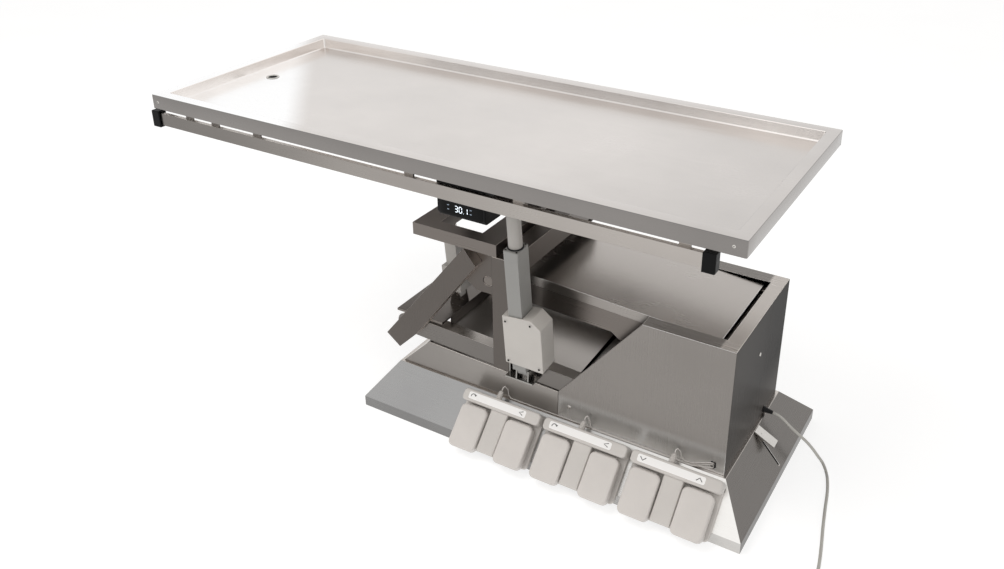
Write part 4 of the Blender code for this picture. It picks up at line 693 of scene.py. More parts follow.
def look(name):
    """The finish of that name, made the first time it is asked for."""
    made = bpy.data.materials.get(name)
    if made:
        return made
    tint = colours()
    tray, sheet, dark, bright = (tuple(value) for value in (tint.tray, tint.sheet, tint.frame, tint.bright))
    middle = PEDESTAL_X
    # where the painted glare over the tray's floor begins
    glare = GLARE_WAY[0] * middle - 0.612

    def faded(axis, low, high, colour, first, last):
        """One colour in two shares; along x the ends are counted from the pedestal's middle."""
        start = middle if axis == "x" else 0.0
        return Fade(axis, start + low, start + high, shade(colour, first), shade(colour, last))

    finishes = {
        # painted light: a painted white glare over the floor past a slanting line, the rest of the floor
        # lighter to the left; painted shade on the front wall, the back wall painted brighter to the right,
        # the left end painted light and the right end painted shade
        "tray steel": lambda: steel(
            name,
            Fade(GLARE_WAY, glare - 0.035, glare + 0.035, (1.0, 1.0, 1.0),
                 faded("x", -0.05, 0.38, tray, 1.05, 0.90)),
            Fade("y", -0.25, 0.20, shade(tray, 0.35), faded("x", 0.0, 0.30, tray, 1.12, 1.5)),
            faded("x", -0.5, 0.2, tray, 1.38, 0.47),
            "x", (0.18, 0.25), 0.008, 0.008),
        # painted light: tops painted lighter, sides in painted shade at the left turning to a painted
        # highlight towards the right
        "rail steel": lambda: steel(
            name, shade(sheet, 2.2),
            Fade("x", middle - 0.80, middle - 0.30, shade(sheet, 0.70),
                 faded("x", -0.30, 0.35, sheet, 1.15, 1.55)),
            sheet, "x"),
        # painted light: the top painted brighter near its right end, a painted reflection of the floor as a
        # bright band along the foot of the sides, the end faces in painted shade that darkens upwards and
        # towards the back, and painted glints on rounded edges
        "housing steel": lambda: steel(
            name, faded("x", 0.352, 0.358, sheet, 1.0, 2.3),
            faded("z", 0.100, 0.165, sheet, 4.2, 0.87),
            Fade("z", 0.100, 0.24, shade(sheet, 0.34), faded("y", -0.16, 0.16, sheet, 0.22, 0.08)), "z",
            end_metal=0.25, glint=4.0),
        # painted light: tops painted lighter than sides and ends, and painted glints on rounded edges
        "cover steel": lambda: steel(name, shade(sheet, 1.75), shade(sheet, 1.1), shade(sheet, 0.9), "x",
                                     (0.26, 0.28), 0.006, 0.001, glint=3.0),
        # painted light: tops and sides painted brighter towards the right, ends darker, and painted glints
        # on rounded edges
        "plinth steel": lambda: steel(
            name, faded("x", -0.26, -0.06, sheet, 1.1, 1.9), faded("x", -0.40, 0.0, sheet, 0.95, 1.15),
            shade(sheet, 0.9), "x", (0.30, 0.33), 0.008, 0.001, metal=0.6, glint=1.5),
        # painted light: tops painted lighter, sides with a painted bright reflection growing towards the
        # right, ends and standing faces in painted shade
        "skirt steel": lambda: steel(
            name, shade(sheet, 2.1),
            Fade("x", middle - 0.15, middle + 0.42, (0.37, 0.366, 0.362), (0.90, 0.88, 0.85)),
            shade(sheet, 0.64), "x", upright=0.62),
        # painted shade and light: tops in painted shade, darker than the sides, and painted glints on
        # rounded edges
        "frame steel": lambda: steel(name, shade(dark, 0.95), shade(dark, 1.2), dark, "x", (0.28, 0.36),
                                     glint=6.0),
        # painted light: tops painted lighter, sides in painted shade, and painted glints on rounded edges
        "strut steel": lambda: steel(name, shade(dark, 1.8), shade(dark, 0.80), dark, "z", (0.28, 0.36),
                                     glint=5.0),
        # painted light: tops painted lighter, sides in painted shade, and painted glints on rounded edges
        "arm steel": lambda: steel(name, shade(sheet, 1.7), shade(sheet, 0.64), sheet, "x", (0.28, 0.31),
                                   0.008, 0.002, glint=3.0),
        "bright steel": lambda: steel(name, bright, bright, bright, "z", (0.16, 0.28), 0.04, 0.03),
        # painted shade: the bright steel darkened, most on its sides and ends
        "bracket steel": lambda: steel(name, shade(bright, 0.7), shade(bright, 0.5), shade(bright, 0.4), "z",
                                       (0.16, 0.28), 0.04, 0.03),
        "pedal plastic": lambda: plastic(name, tint.pedal, 0.46),
        "pad plastic": lambda: plastic(name, tint.pad, 0.42),
        "tube paint": lambda: plastic(name, tint.tube, 0.36, 0.02, 0.03, 0.1),
        "rod paint": lambda: plastic(name, shade(tint.motor, 0.72), 0.36, 0.02, 0.02),
        "motor plastic": lambda: plastic(name, tint.motor, 0.44),
        "black plastic": lambda: plastic(name, tint.black, 0.40, 0.05, 0.10, shine=0.08),
        "black gloss": lambda: plastic(name, shade(tint.black, 0.6), 0.14, 0.03, 0.01, shine=0.1),
        "black rubber": lambda: plastic(name, shade(tint.black, 2.2), 0.6, 0.06, 0.15, shine=0.25),
        "cord rubber": lambda: plastic(name, tint.cord, 0.5, 0.04, 0.10),
        "lead rubber": lambda: plastic(name, shade(tint.pedal, 0.95), 0.5, 0.04, 0.10),
        "label film": lambda: plastic(name, tint.label, 0.32, 0.01, 0.01),
        "symbol ink": lambda: plastic(name, tint.ink, 0.4, 0.01, 0.01),
        "display light": lambda: glow(name, (0.85, 0.93, 1.0), 1.1),
        "icon light": lambda: glow(name, (0.26, 0.32, 0.40), 0.10),
    }
    return finishes[name]()


def screw_meshes(name, centre, direction, radius, rise=0.0022):
    """A low button screw: a turned head with a shallow round socket in its middle."""
    head = [(0.0, 0.0), (radius, 0.0), (radius, rise * 0.45), (radius * 0.93, rise * 0.75),
            (radius * 0.78, rise * 0.95), (radius * 0.60, rise), (radius * 0.46, rise),
            (radius * 0.42, rise * 0.25), (0.0, rise * 0.2)]
    return turned_mesh(name, head, centre, direction, 24)


def slope_frame(x):
    """The pedals' own axes: X along the skirt, Y up its front slope, Z out of it, from the slope's foot."""
    up = Vector((0, SLOPE_RUN, SLOPE_TOP_Z - SLOPE_FOOT_Z)).normalized()
    out = Vector((0, -up.z, up.y))
    turn = Matrix((Vector((1, 0, 0)), up, out)).transposed().to_4x4()
    return Matrix.Translation(Vector((x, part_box("base_skirt")[0].y, SLOPE_FOOT_Z))) @ turn


def hermite(start, start_way, end, end_way, count):
    """Points on a cubic that leaves start along start_way and reaches end along end_way."""
    t = np.linspace(0, 1, count)[:, None]
    start, start_way, end, end_way = (np.array(value, float) for value in (start, start_way, end, end_way))
    return ((2 * t ** 3 - 3 * t ** 2 + 1) * start + (t ** 3 - 2 * t ** 2 + t) * start_way
            + (3 * t ** 2 - 2 * t ** 3) * end + (t ** 3 - t ** 2) * end_way)


def smoothstep(t):
    """Rises softly from 0 to 1."""
    t = np.clip(t, 0, 1)
    return t * t * (3 - 2 * t)


def coil_points():
    """The coiled length: three layers of a flat spiral, in, out and in again, with climbs between them.

    The way round the coil is the angle, which falls all along; the radius is a line in it on each
    layer, and the height rises softly over the climbs, which bulge away from the turns beside them.
    """
    entry = radians(14)
    step = radians(5)
    climb = 0.30
    stages = (
        (COIL_TURNS, COIL_OUTER, COIL_INNER, LAYERS_Z[0], LAYERS_Z[0], 0.0),
        (climb, COIL_INNER, COIL_INNER, LAYERS_Z[0], LAYERS_Z[1], -0.0008),
        (COIL_TURNS, COIL_INNER, COIL_OUTER - 0.0004, LAYERS_Z[1], LAYERS_Z[1], 0.0),
        (climb, COIL_OUTER - 0.0004, COIL_OUTER - 0.0004, LAYERS_Z[1], LAYERS_Z[2], 0.0005),
        (COIL_TURNS - 0.55, COIL_OUTER - 0.0004, 0.0302, LAYERS_Z[2], LAYERS_Z[2], 0.0),
    )
    parts = []
    angle = entry
    for turns, start, end, low, high, bulge in stages:
        count = int(round(turns * 2 * pi / step))
        t = np.linspace(0, 1, count + 1)
        way = angle - t * turns * 2 * pi
        radius = start + (end - start) * t + bulge * np.sin(pi * t)
        height = low + (high - low) * smoothstep(t)
        parts.append(np.column_stack((COIL_CENTRE[0] + radius * np.cos(way),
                                      COIL_CENTRE[1] + radius * np.sin(way), height))[(1 if parts else 0):])
        angle = way[-1]
    return np.vstack(parts)


def mains_points():
    """The mains lead: the route from the relief, an easy bend, the coil and a bend to the plug."""
    route = smooth_path(MAINS_ROUTE, 0.005)
    coil = coil_points()
    way_in = coil[1] - coil[0]
    way_in /= np.linalg.norm(way_in)
    join = hermite(route[-1], (0, -0.026, 0), coil[0], way_in * 0.026, 8)[1:-1]
    way_out = coil[-1] - coil[-2]
    way_out /= np.linalg.norm(way_out)
    end = np.array((PLUG_X, PLUG_BACK_Y - 0.004, PLUG_Z))
    tail = hermite(coil[-1], way_out * 0.045, end, (0, -0.045, 0), 16)[1:]
    points = np.vstack((route, join, coil, tail))
    return points + np.array((PEDESTAL_X, 0, 0))


def superellipse_rows(rows, sides=40):
    """Rings along -Y: each row is (way, half width, half height, power); higher powers are squarer."""
    angle = np.linspace(0, 2 * pi, sides, endpoint=False)
    rows = np.array(rows)
    power = 2 / rows[:, 3][:, None]
    x = rows[:, 1][:, None] * np.sign(np.cos(angle)) * np.abs(np.cos(angle)) ** power
    z = rows[:, 2][:, None] * np.sign(np.sin(angle)) * np.abs(np.sin(angle)) ** power
    y = np.repeat(-rows[:, 0][:, None], sides, axis=1)
    return np.stack((x, y, z), axis=-1)


class TABLE_OT_stage(bpy.types.Operator):
    """Sets the camera, the world, the lamps and the floor"""

    bl_idname = "table.stage"
    bl_label = "Stage"

    def execute(self, context):
        settings = context.scene.table_stage
        scene = context.scene
        camera = bpy.data.objects.new("camera", bpy.data.cameras.new("camera"))
        scene.collection.objects.link(camera)
        camera.location = settings.camera_place
        camera.rotation_euler = (pi / 2 - settings.camera_pitch, 0, settings.camera_yaw)
        lens = camera.data
        lens.sensor_fit = "HORIZONTAL"
        lens.sensor_width = 36
        lens.lens = 36 * settings.focal_pixels / IMAGE[0]
        lens.shift_x = (IMAGE[0] / 2 - settings.image_centre[0]) / IMAGE[0]
        lens.shift_y = (settings.image_centre[1] - IMAGE[1] / 2) / IMAGE[0]
        lens.clip_end = 60
        scene.camera = camera
        scene.view_settings.view_transform = "Standard"
        self.world(scene, settings)
        self.lamps(scene, settings)
        self.floor(scene)
        return {"FINISHED"}

    def world(self, scene, settings):
        """White where the camera, a reflection or a see-through ray meets it, and a soft light elsewhere."""
        world = bpy.data.worlds.new("surroundings")
        world.use_nodes = True
        scene.world = world
        build = NodeGroup(world.node_tree)
        world.node_tree.nodes.clear()
        path = build.add("ShaderNodeLightPath")
        seen = build.math("MAXIMUM", path.outputs["Is Camera Ray"], path.outputs["Is Glossy Ray"])
        seen = build.math("MAXIMUM", seen, path.outputs["Is Transmission Ray"])
        mixed = build.add("ShaderNodeMixShader")
        build.link(seen, mixed.inputs[0])
        for at, colour, strength in ((1, (1.0, 0.985, 0.965), settings.ambient), (2, (1, 1, 1), 1.0)):
            light = build.add("ShaderNodeBackground")
            build.feed(light.inputs["Color"], colour)
            build.feed(light.inputs["Strength"], strength)
            build.link(light.outputs[0], mixed.inputs[at])
        output = build.add("ShaderNodeOutputWorld")
        build.link(mixed.outputs[0], output.inputs["Surface"])

    def lamps(self, scene, settings):
        """A large soft lamp high on the front left, and a weaker one beside the camera."""
        lamps = (
            ("key", (-1.0, -1.2, 3.1), (0.0, 0.0, 0.4), (2.0, 2.0), settings.key_power),
            ("fill", (1.9, -2.6, 2.2), (0.1, 0.0, 0.3), (1.8, 1.8), settings.fill_power),
        )
        for name, position, target, size, power in lamps:
            data = bpy.data.lights.new(name, "AREA")
            data.shape = "RECTANGLE"
            data.size, data.size_y = size
            data.energy = power
            data.color = (1.0, 0.975, 0.95)
            lamp = bpy.data.objects.new(name, data)
            scene.collection.objects.link(lamp)
            lamp.location = position
            lamp.visible_glossy = False
            lamp.rotation_euler = (Vector(target) - Vector(position)).to_track_quat("-Z", "Y").to_euler()

    def floor(self, scene):
        """A floor that the camera sees as pure white away from the shadow."""
        reach = 14.0
        u = np.linspace(-reach, reach, 9)
        x, y = np.meshgrid(u, u, indexing="ij")
        mesh = grid_mesh("floor", np.stack((x, y, np.full_like(x, -0.0004)), axis=-1))
        item = bpy.data.objects.new("floor", mesh)
        scene.collection.objects.link(item)
        material, build, shader, coordinates = new_material("floor paint")
        level = build.range(build.noise(coordinates.outputs["Object"], 3.0), 0.3, 0.7, 0.99, 1.0)
        build.link(build.times((0.42, 0.42, 0.42), level), shader.inputs["Base Color"])
        shader.inputs["Roughness"].default_value = 0.95
        shader.inputs["Specular IOR Level"].default_value = 0.0
        build.link(build.grey(level), shader.inputs["Emission Color"])
        shader.inputs["Emission Strength"].default_value = 0.72
        mesh.materials.append(material)


class TABLE_OT_mains(bpy.types.Operator):
    """Lays the mains lead in its coil, with its relief and its plug"""

    bl_idname = "table.mains"
    bl_label = "Mains lead"

    def execute(self, context):
        radius = sizes().cord_radius
        points = mains_points()
        curve = bpy.data.curves.new("mains_cord", "CURVE")
        curve.dimensions = "3D"
        curve.bevel_depth = radius
        curve.bevel_resolution = 3
        curve.use_fill_caps = True
        spline = curve.splines.new("POLY")
        spline.points.add(len(points) - 1)
        spline.points.foreach_set("co", np.column_stack((points, np.ones(len(points)))).ravel())
        spline.use_smooth = True
        curve.materials.append(look("cord rubber"))
        cord = bpy.data.objects.new("mains_cord", curve)
        context.scene.collection.objects.link(cord)
        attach(cord, "base")
        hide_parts("mains_lead", "mains_coil")
        plug = self.plug()
        self.relief()
        return {"FINISHED"}

    def plug(self):
        """A moulded two-pin plug: squared rings along its length, a ribbed tail and two round pins."""
        ribs = []
        for k in range(5):
            way = -0.0150 + k * 0.0032
            ribs += [(way + dy, radius, radius, 2) for dy, radius in
                     ((0, 0.0044), (0.0005, 0.0052), (0.0016, 0.0052), (0.0021, 0.0044))]
        body = [(-0.0152, 0.0001, 0.0001, 2), (-0.0151, 0.0042, 0.0042, 2), *ribs,
                (0.0012, 0.0070, 0.0068, 2.4),
                (0.0040, 0.0108, 0.0100, 2.6), (0.0090, 0.0126, 0.0116, 2.8), (0.0180, 0.0118, 0.0108, 2.8),
                (0.0260, 0.0122, 0.0112, 2.8), (0.0340, 0.0130, 0.0120, 2.8), (0.0388, 0.0130, 0.0120, 2.8),
                (0.0398, 0.0122, 0.0112, 2.8), (PLUG_LONG, 0.0110, 0.0100, 2.8),
                (PLUG_LONG, 0.0001, 0.0001, 2)]
        origin = Vector(local(PLUG_X, PLUG_BACK_Y, PLUG_Z))
        shell = grid_mesh("plug_body", superellipse_rows(body), closed_columns=True)
        place(shell, Matrix.Translation(origin))
        pins = []
        for dx in (-0.0095, 0.0095):
            profile = [(0, 0), (0.0024, 0), (0.0024, 0.0172), (0.0019, 0.0187), (0.0008, 0.0190),
                       (0, 0.0190)]
            start = origin + Vector((dx, 0.0006 - PLUG_LONG, 0))
            pins.append(turned_mesh("plug_pin", profile, start, (0, -1, 0), 20))
        plug = piece("mains_plug_body", shell, "base", look("black plastic"), ("mains_plug",))
        prongs = piece("mains_plug_pins", joined("mains_plug_pins", pins), "base", look("bright steel"))
        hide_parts("mains_plug")
        prongs.parent = plug
        prongs.matrix_parent_inverse = plug.matrix_world.inverted()
        return plug

    def relief(self):
        """A ribbed relief that narrows from the housing to the lead."""
        start = Vector(local(0.3883, 0.074, 0.110))
        end = Vector(local(*MAINS_EXIT))
        long = (end - start).length - 0.0003
        profile = [(0, 0), (0.0068, 0), (0.0068, 0.0018)]
        ribs = 5
        for k in range(ribs):
            way = 0.0024 + k * (long - 0.0040) / ribs
            outer = 0.0066 - 0.0022 * k / ribs
            profile += [(outer - 0.0010, way), (outer - 0.0002, way + 0.0006),
                        (outer - 0.0002, way + 0.0018), (outer - 0.0010, way + 0.0026)]
        profile += [(0.0040, long - 0.0008), (0.0036, long), (0, long)]
        mesh = turned_mesh("relief", profile, start, end - start, 32)
        piece("mains_relief_ribbed", mesh, "base", look("black rubber"),
              ("mains_relief",), 40)


class TABLE_OT_tray(bpy.types.Operator):
    """Makes the tray of folded sheet with its drain"""

    bl_idname = "table.tray"
    bl_label = "Tray"

    band = 0.0274
    turn_in = 0.014
    floor_z = 0.665
    thick = 0.0015
    taper = 0.002
    outer_corner = 0.0032
    inner_corner = 0.0050
    drain_r = 0.0130
    drain_in = 0.0895

    def execute(self, context):
        low, high = span("table_tray")
        middle = (low + high) / 2
        half = (high - low) / 2
        size = sizes()
        drain = np.array((low[0] + self.drain_in, 0.0))
        edge, fillet = size.rim_edge, size.tray_fillet
        top, bottom, floor, thick = high[2], low[2], self.floor_z, self.thick
        wall = self.band
        quarter = np.linspace(0, pi / 2, 5)
        rows = [(self.turn_in, bottom, 0.0), (self.turn_in, bottom + thick, 0.0)]
        rows += [(thick, bottom + thick, 0.0), (thick, top - thick, 0.0), (wall - thick, top - thick, 0.0),
                 (wall + self.taper - thick, floor - thick, 0.0)]
        under = rows[::-1]
        outside = [(edge * 0.6 * (1 - sin(a)), bottom + edge * 0.6 * (1 - cos(a)), 0) for a in quarter]
        outside += [(edge * (1 - cos(a)), top - edge * (1 - sin(a)), 0) for a in quarter]
        inside = [(wall - edge * (1 - sin(a)), top - edge * (1 - cos(a)), 1) for a in quarter]
        inside += [(wall + self.taper + fillet * (1 - cos(a)), floor + fillet * (1 - sin(a)), 1)
                   for a in quarter]
        loops = []
        for inset, z, inner in [(self.turn_in, bottom, 0), *outside, *inside]:
            corner = self.inner_corner if inner else max(self.outer_corner - inset, 0.0006)
            loops.append(self.loop(middle, half, inset, z, corner))
        loops.extend(self.toward_drain(loops[-1], drain, floor, (0.25, 0.55, 0.80, 1.0), 0.020))
        loops.append(self.circle_loop(loops[-1], drain, self.drain_r, floor))
        loops.append(self.circle_loop(loops[-1], drain, self.drain_r, floor - thick))
        below = [self.loop(middle, half, inset, z, 0.003) for inset, z, _ in under]
        loops.extend([self.circle_loop(below[0], drain, self.drain_r, floor - thick)])
        loops.extend(below)
        mesh = grid_mesh("tray", np.array(loops), closed_rows=True, closed_columns=True)
        piece("tray_skin", mesh, "tabletop", look("tray steel"), ("table_tray",), 34)
        self.drain(drain, floor)
        self.screws(low, high)
        return {"FINISHED"}

    def loop(self, middle, half, inset, z, corner):
        """The tray's outline at an inset and a height."""
        plan = rounded_loop(half[0] - inset, half[1] - inset, corner, 5, 14)
        return np.column_stack((plan[:, 0] + middle[0], plan[:, 1] + middle[1], np.full(len(plan), z)))

    def circle_loop(self, like, centre, radius, z):
        """A ring round the drain, each point on the line from the drain to the outline's point."""
        way = like[:, :2] - centre
        way = way / np.linalg.norm(way, axis=1)[:, None]
        plan = centre + radius * way
        return np.column_stack((plan, np.full(len(plan), z)))

    def toward_drain(self, like, centre, z, shares, radius):
        """Flat rings between the floor's outline and a circle round the drain."""
        ring = self.circle_loop(like, centre, radius, z)
        return [like + share * (ring - like) * (1, 1, 0) for share in shares]

    def drain(self, centre, floor):
        """A turned collar with a rounded lip, and a stopper with a groove and a grip."""
        collar = [(0.0110, -0.0022), (0.0128, -0.0022), (0.0127, 0.0003), (0.0158, 0.0003), (0.0159, 0.0007),
                  (0.0155, 0.0014), (0.0147, 0.0018), (0.0130, 0.0018), (0.0116, 0.0012), (0.0110, 0.0002),
                  (0.0110, -0.0022)]
        pipe = [(0.0110, -0.0020), (0.0126, -0.0020), (0.0126, -0.0340), (0.0122, -0.0350),
                (0.0112, -0.0350), (0.0110, -0.0340), (0.0110, -0.0020)]
        at = (centre[0], centre[1], floor)
        meshes = [turned_mesh("collar", profile, at, (0, 0, 1)) for profile in (collar, pipe)]
        piece("drain_ring", joined("drain_ring", meshes), "tabletop", look("bright steel"),
              ("drain_collar",), 30)
        stopper = [(0, -0.0058), (0.0100, -0.0058), (0.0107, -0.0050), (0.0107, -0.0022), (0.0101, -0.0013),
                   (0.0072, -0.0013), (0.0060, -0.0024), (0.0034, -0.0024), (0.0026, -0.0008), (0, -0.0004)]
        piece("drain_stopper", turned_mesh("stopper", stopper, at, (0, 0, 1)), "tabletop",
              look("black rubber"), ("drain_plug",), 40)

    def screws(self, low, high):
        """Small button screws near both ends of the rim's long sides."""
        heads = []
        z = low[2] + 0.0170
        for x in (low[0] + 0.0182, high[0] - 0.0235):
            for sign in (-1, 1):
                y = low[1] if sign < 0 else high[1]
                at = (x, y - sign * 0.0003, z)
                heads.append(screw_meshes("rim_screw", at, (0, sign, 0), 0.0030, 0.0009))
        piece("rim_screws", joined("rim_screws", heads), "tabletop", look("bright steel"))


class TABLE_OT_rails(bpy.types.Operator):
    """Dresses the side rails and their end caps"""

    bl_idname = "table.rails"
    bl_label = "Side rails"

    def execute(self, context):
        for side in ("front", "back"):
            dress((f"side_rail_{side}", "rail steel", "sheet_edge"),
                  (f"rail_cap_{side}_left rail_cap_{side}_right", "black plastic", "cap_edge"))
        return {"FINISHED"}


class TABLE_OT_underframe(bpy.types.Operator):
    """Dresses the frame under the tray and what hangs from it"""

    bl_idname = "table.underframe"
    bl_label = "Frame under the tray"

    def execute(self, context):
        dress(("table_frame", "frame steel", "plate_edge"),
              ("table_hinge_left table_hinge_right side_top_holder", "frame steel", "sheet_edge"))
        return {"FINISHED"}


class TABLE_OT_display(bpy.types.Operator):
    """Makes the display box with its glass and its digits"""

    bl_idname = "table.display"
    bl_label = "Display"

    def execute(self, context):
        dress(("display_box", "black plastic", "box_edge", 3))
        front = span("display_box")[0][1]
        middle = np.array((DISPLAY_CENTRE[0] + PEDESTAL_X, DISPLAY_CENTRE[1]))
        rows = [(0.0, -0.0006), (0.0, 0.0002), (0.0003, 0.0006), (0.0009, 0.0008)]
        glass = capped("display_glass", slab_loops(*GLASS_HALF, 0.005, rows))
        place(glass, Matrix.Translation(Vector((middle[0], front, middle[1]))) @ STANDING)
        piece("display_glass", glass, "tabletop", look("black gloss"))
        self.digits(middle, front)
        return {"FINISHED"}

    def digits(self, middle, front):
        """Seven-segment digits: each lit bar is a thin six-sided prism between two corners of its cell."""
        cell, gap, bar, proud = DIGIT_CELL, DIGIT_GAP, 0.0015, 0.0010
        meshes = []
        x = middle[0] - 0.0135
        for lit in DISPLAY_DIGITS:
            if not lit:
                foot = middle[1] - cell
                meshes.append(self.bar((x - 0.0008, foot), (x + 0.0009, foot), bar, front, proud))
                x += 0.0030
                continue
            for name in lit:
                (ax, az), (bx, bz) = SEGMENTS[name]
                start = (x + ax * cell, middle[1] + (az - 1) * cell)
                end = (x + bx * cell, middle[1] + (bz - 1) * cell)
                meshes.append(self.bar(start, end, bar, front, proud))
            x += cell + gap
        piece("display_digits", joined("display_digits", meshes), "tabletop", look("display light"))
        icons = []
        for dx in (-0.0330, 0.0200):
            for row in (0.0050, -0.0040):
                start = (middle[0] + dx, middle[1] + row)
                icons.append(self.bar(start, (start[0] + 0.0070, start[1]), 0.0022, front, proud))
        piece("display_icons", joined("display_icons", icons), "tabletop", look("icon light"))

    def bar(self, start, end, wide, front, proud):
        """A thin prism from start to end with pointed ends."""
        start, end = np.array(start), np.array(end)
        way = (end - start) / np.linalg.norm(end - start)
        side = np.array((-way[1], way[0])) * wide / 2
        start, end = start + way * wide * 0.35, end - way * wide * 0.35
        tip = way * wide / 2
        plan = np.array((start, start + tip - side, end - tip - side, end, end - tip + side,
                         start + tip + side))
        rows = []
        for depth, share in ((proud - 0.0004, 0.0), (proud - 0.0004, 1.0), (proud, 1.0), (proud, 0.0)):
            ring = plan.mean(axis=0) + share * (plan - plan.mean(axis=0))
            rows.append(np.column_stack((ring[:, 0], np.full(6, front - depth), ring[:, 1])))
        return grid_mesh("segment", np.array(rows), closed_columns=True)


class TABLE_OT_base(bpy.types.Operator):
    """Dresses the skirt, the plinth, the housing and what stands in them"""

    bl_idname = "table.base"
    bl_label = "Base"

    def execute(self, context):
        dress(("base_skirt", "skirt steel", "skirt_edge"), ("base_plate", "arm steel", "sheet_edge"),
              ("plinth_cover", "plinth steel", "fold_edge"))
        run = block_mesh("deck_run", local(DECK_START, -DECK_HALF, DECK_Z - DECK_THICK),
                         local(DECK_START + DECK_LONG, DECK_HALF, DECK_Z), 0.0004)
        piece("deck_run", run, "base", look("plinth steel"))
        dress(("housing_shell", "housing steel", "fold_edge"),
              ("pivot_towers lift_foot_bracket lever_bracket", "arm steel", "sheet_edge"))
        heads = []
        for at, way in (((0.0393, -0.1600, 0.1333), (0, -1, 0)), ((0.0393, 0.1600, 0.1333), (0, 1, 0)),
                        ((0.3880, -0.0025, 0.2953), (1, 0, 0))):
            heads.append(screw_meshes("cover_screw", local(*at), way, 0.0042, 0.0016))
        piece("cover_screws", joined("cover_screws", heads), "base", look("bright steel"))
        loops = slab_loops(0.0046, 0.0085, 0.0044, [(0.0, -0.0004), (0.0, 0.0003), (0.0004, 0.0007)])
        loops += slab_loops(0.0030, 0.0068, 0.0029, [(0.0, 0.0007), (0.0, -0.0003)])
        collar = grid_mesh("lead_collar", np.array(loops), closed_rows=True, closed_columns=True)
        place(collar, Matrix.Translation(Vector(local(*LEAD_SLOT))) @ STANDING)
        piece("lead_collar", collar, "base", look("black rubber"))
        return {"FINISHED"}


class TABLE_OT_arms(bpy.types.Operator):
    """Dresses the parallelogram's arms and their cover"""

    bl_idname = "table.arms"
    bl_label = "Arms"

    def execute(self, context):
        dress(("upper_arm_frame", "frame steel", "plate_edge"),
              ("upper_arm_cover", "cover steel", "cover_edge"),
              ("lower_arm_frame", "arm steel", "tube_edge"))
        return {"FINISHED"}


class TABLE_OT_carrier(bpy.types.Operator):
    """Dresses the carrier that the arms lift"""

    bl_idname = "table.carrier"
    bl_label = "Carrier"

    def execute(self, context):
        for side in ("front", "back"):
            dress((f"carrier_strut_{side}", "strut steel", "tube_edge"),
                  (f"carrier_cheek_{side}", "strut steel", "plate_edge"))
        dress(("carrier_cross_member", "frame steel", "sheet_edge"),
              ("head_beam", "frame steel", "plate_edge"))
        return {"FINISHED"}


class TABLE_OT_tilt(bpy.types.Operator):
    """Dresses the tilt frame with its post and pedestals"""

    bl_idname = "table.tilt"
    bl_label = "Tilt frame"

    def execute(self, context):
        dress(("tilt_ring", "frame steel", "ring_edge"), ("tilt_post", "strut steel", "tube_edge"),
              ("side_foot_bracket", "bracket steel", "sheet_edge"),
              ("tilt_pedestal_left tilt_pedestal_right", "frame steel", "plate_edge"))
        return {"FINISHED"}


class TABLE_OT_cylinders(bpy.types.Operator):
    """Dresses the three electric cylinders and adds the side cylinder's cap, seal, sleeve and screws"""

    bl_idname = "table.cylinders"
    bl_label = "Cylinders"

    def execute(self, context):
        dress(("side_cylinder", "tube paint", "cover_edge", 3),
              ("side_motor_case", "motor plastic", "cap_edge", 3))
        dressed("side_rod", look("rod paint"), 0, whole=False)
        dress(("end_cylinder", "motor plastic", "body_edge", 3), ("end_rod", "bright steel", "sheet_edge"),
              ("lift_cylinder", "frame steel", "bore_edge"), ("lift_rod", "bright steel", "sheet_edge"))
        self.side_details()
        return {"FINISHED"}

    def frame_of(self, start, end, pin):
        """A cylinder's own axes: Z from its foot to its top and X along its pins."""
        start, end = Vector(local(*start)), Vector(local(*end))
        z_axis = (end - start).normalized()
        x_axis = Vector(pin)
        y_axis = z_axis.cross(x_axis)
        return Matrix.Translation(start) @ Matrix((x_axis, y_axis, z_axis)).transposed().to_4x4()

    def side_details(self):
        """The side cylinder's end cap, seal, rod sleeve and the screws of its case and cap."""
        matrix = self.frame_of((SIDE_X, *SIDE_FOOT), (SIDE_X, *SIDE_TOP), (1, 0, 0))
        foot, head = CAP_Z
        rows = [(0.0006, foot), (0.0, foot + 0.0006), (0.0, head - 0.0016), (0.0008, head - 0.0005),
                (0.0020, head)]
        loops = slab_loops(0.0170, 0.0215, 0.004, rows)
        seat = rounded_loop(0.0152, 0.0152, 0.01519, 6)
        for z in (head, foot):
            loops.append(np.column_stack((seat, np.full(len(seat), z))))
        cap = grid_mesh("cap", np.array(loops), closed_rows=True, closed_columns=True)
        piece("side_cap", place(cap, matrix), "side_cylinder", look("tube paint"))
        ring = [(0.0146, -0.0005), (0.0168, -0.0005), (0.0166, 0.0016), (0.0158, 0.0026), (0.0148, 0.0024),
                (0.0146, -0.0005)]
        seal = turned_mesh("seal", ring, (0, 0, head), (0, 0, 1), 40)
        piece("side_seal", place(seal, matrix), "side_cylinder", look("black rubber"),
              sharp=45)
        sleeve = [(0, ROD_SPAN[0]), (0.01435, ROD_SPAN[0]), (0.01435, ROD_SPAN[1]), (0, ROD_SPAN[1])]
        sleeve = turned_mesh("sleeve", sleeve, (0, 0, 0), (0, 0, 1), 64)
        piece("side_rod_sleeve", place(sleeve, matrix), "side_rod", look("rod paint"))
        heads = [screw_meshes("case_screw", (x, -0.0205 - 0.0215 + 0.0158, z), (0, -1, 0), 0.0022, 0.0010)
                 for x, z in CASE_SCREWS]
        heads += [screw_meshes("cap_screw", (x, y, head - 0.0002), (0, 0, 1), 0.0022, 0.0010)
                  for x in (-0.0125, 0.0125) for y in (-0.0172, 0.0172)]
        piece("side_screws", place(joined("side_screws", heads), matrix), "side_cylinder",
              look("black plastic"))


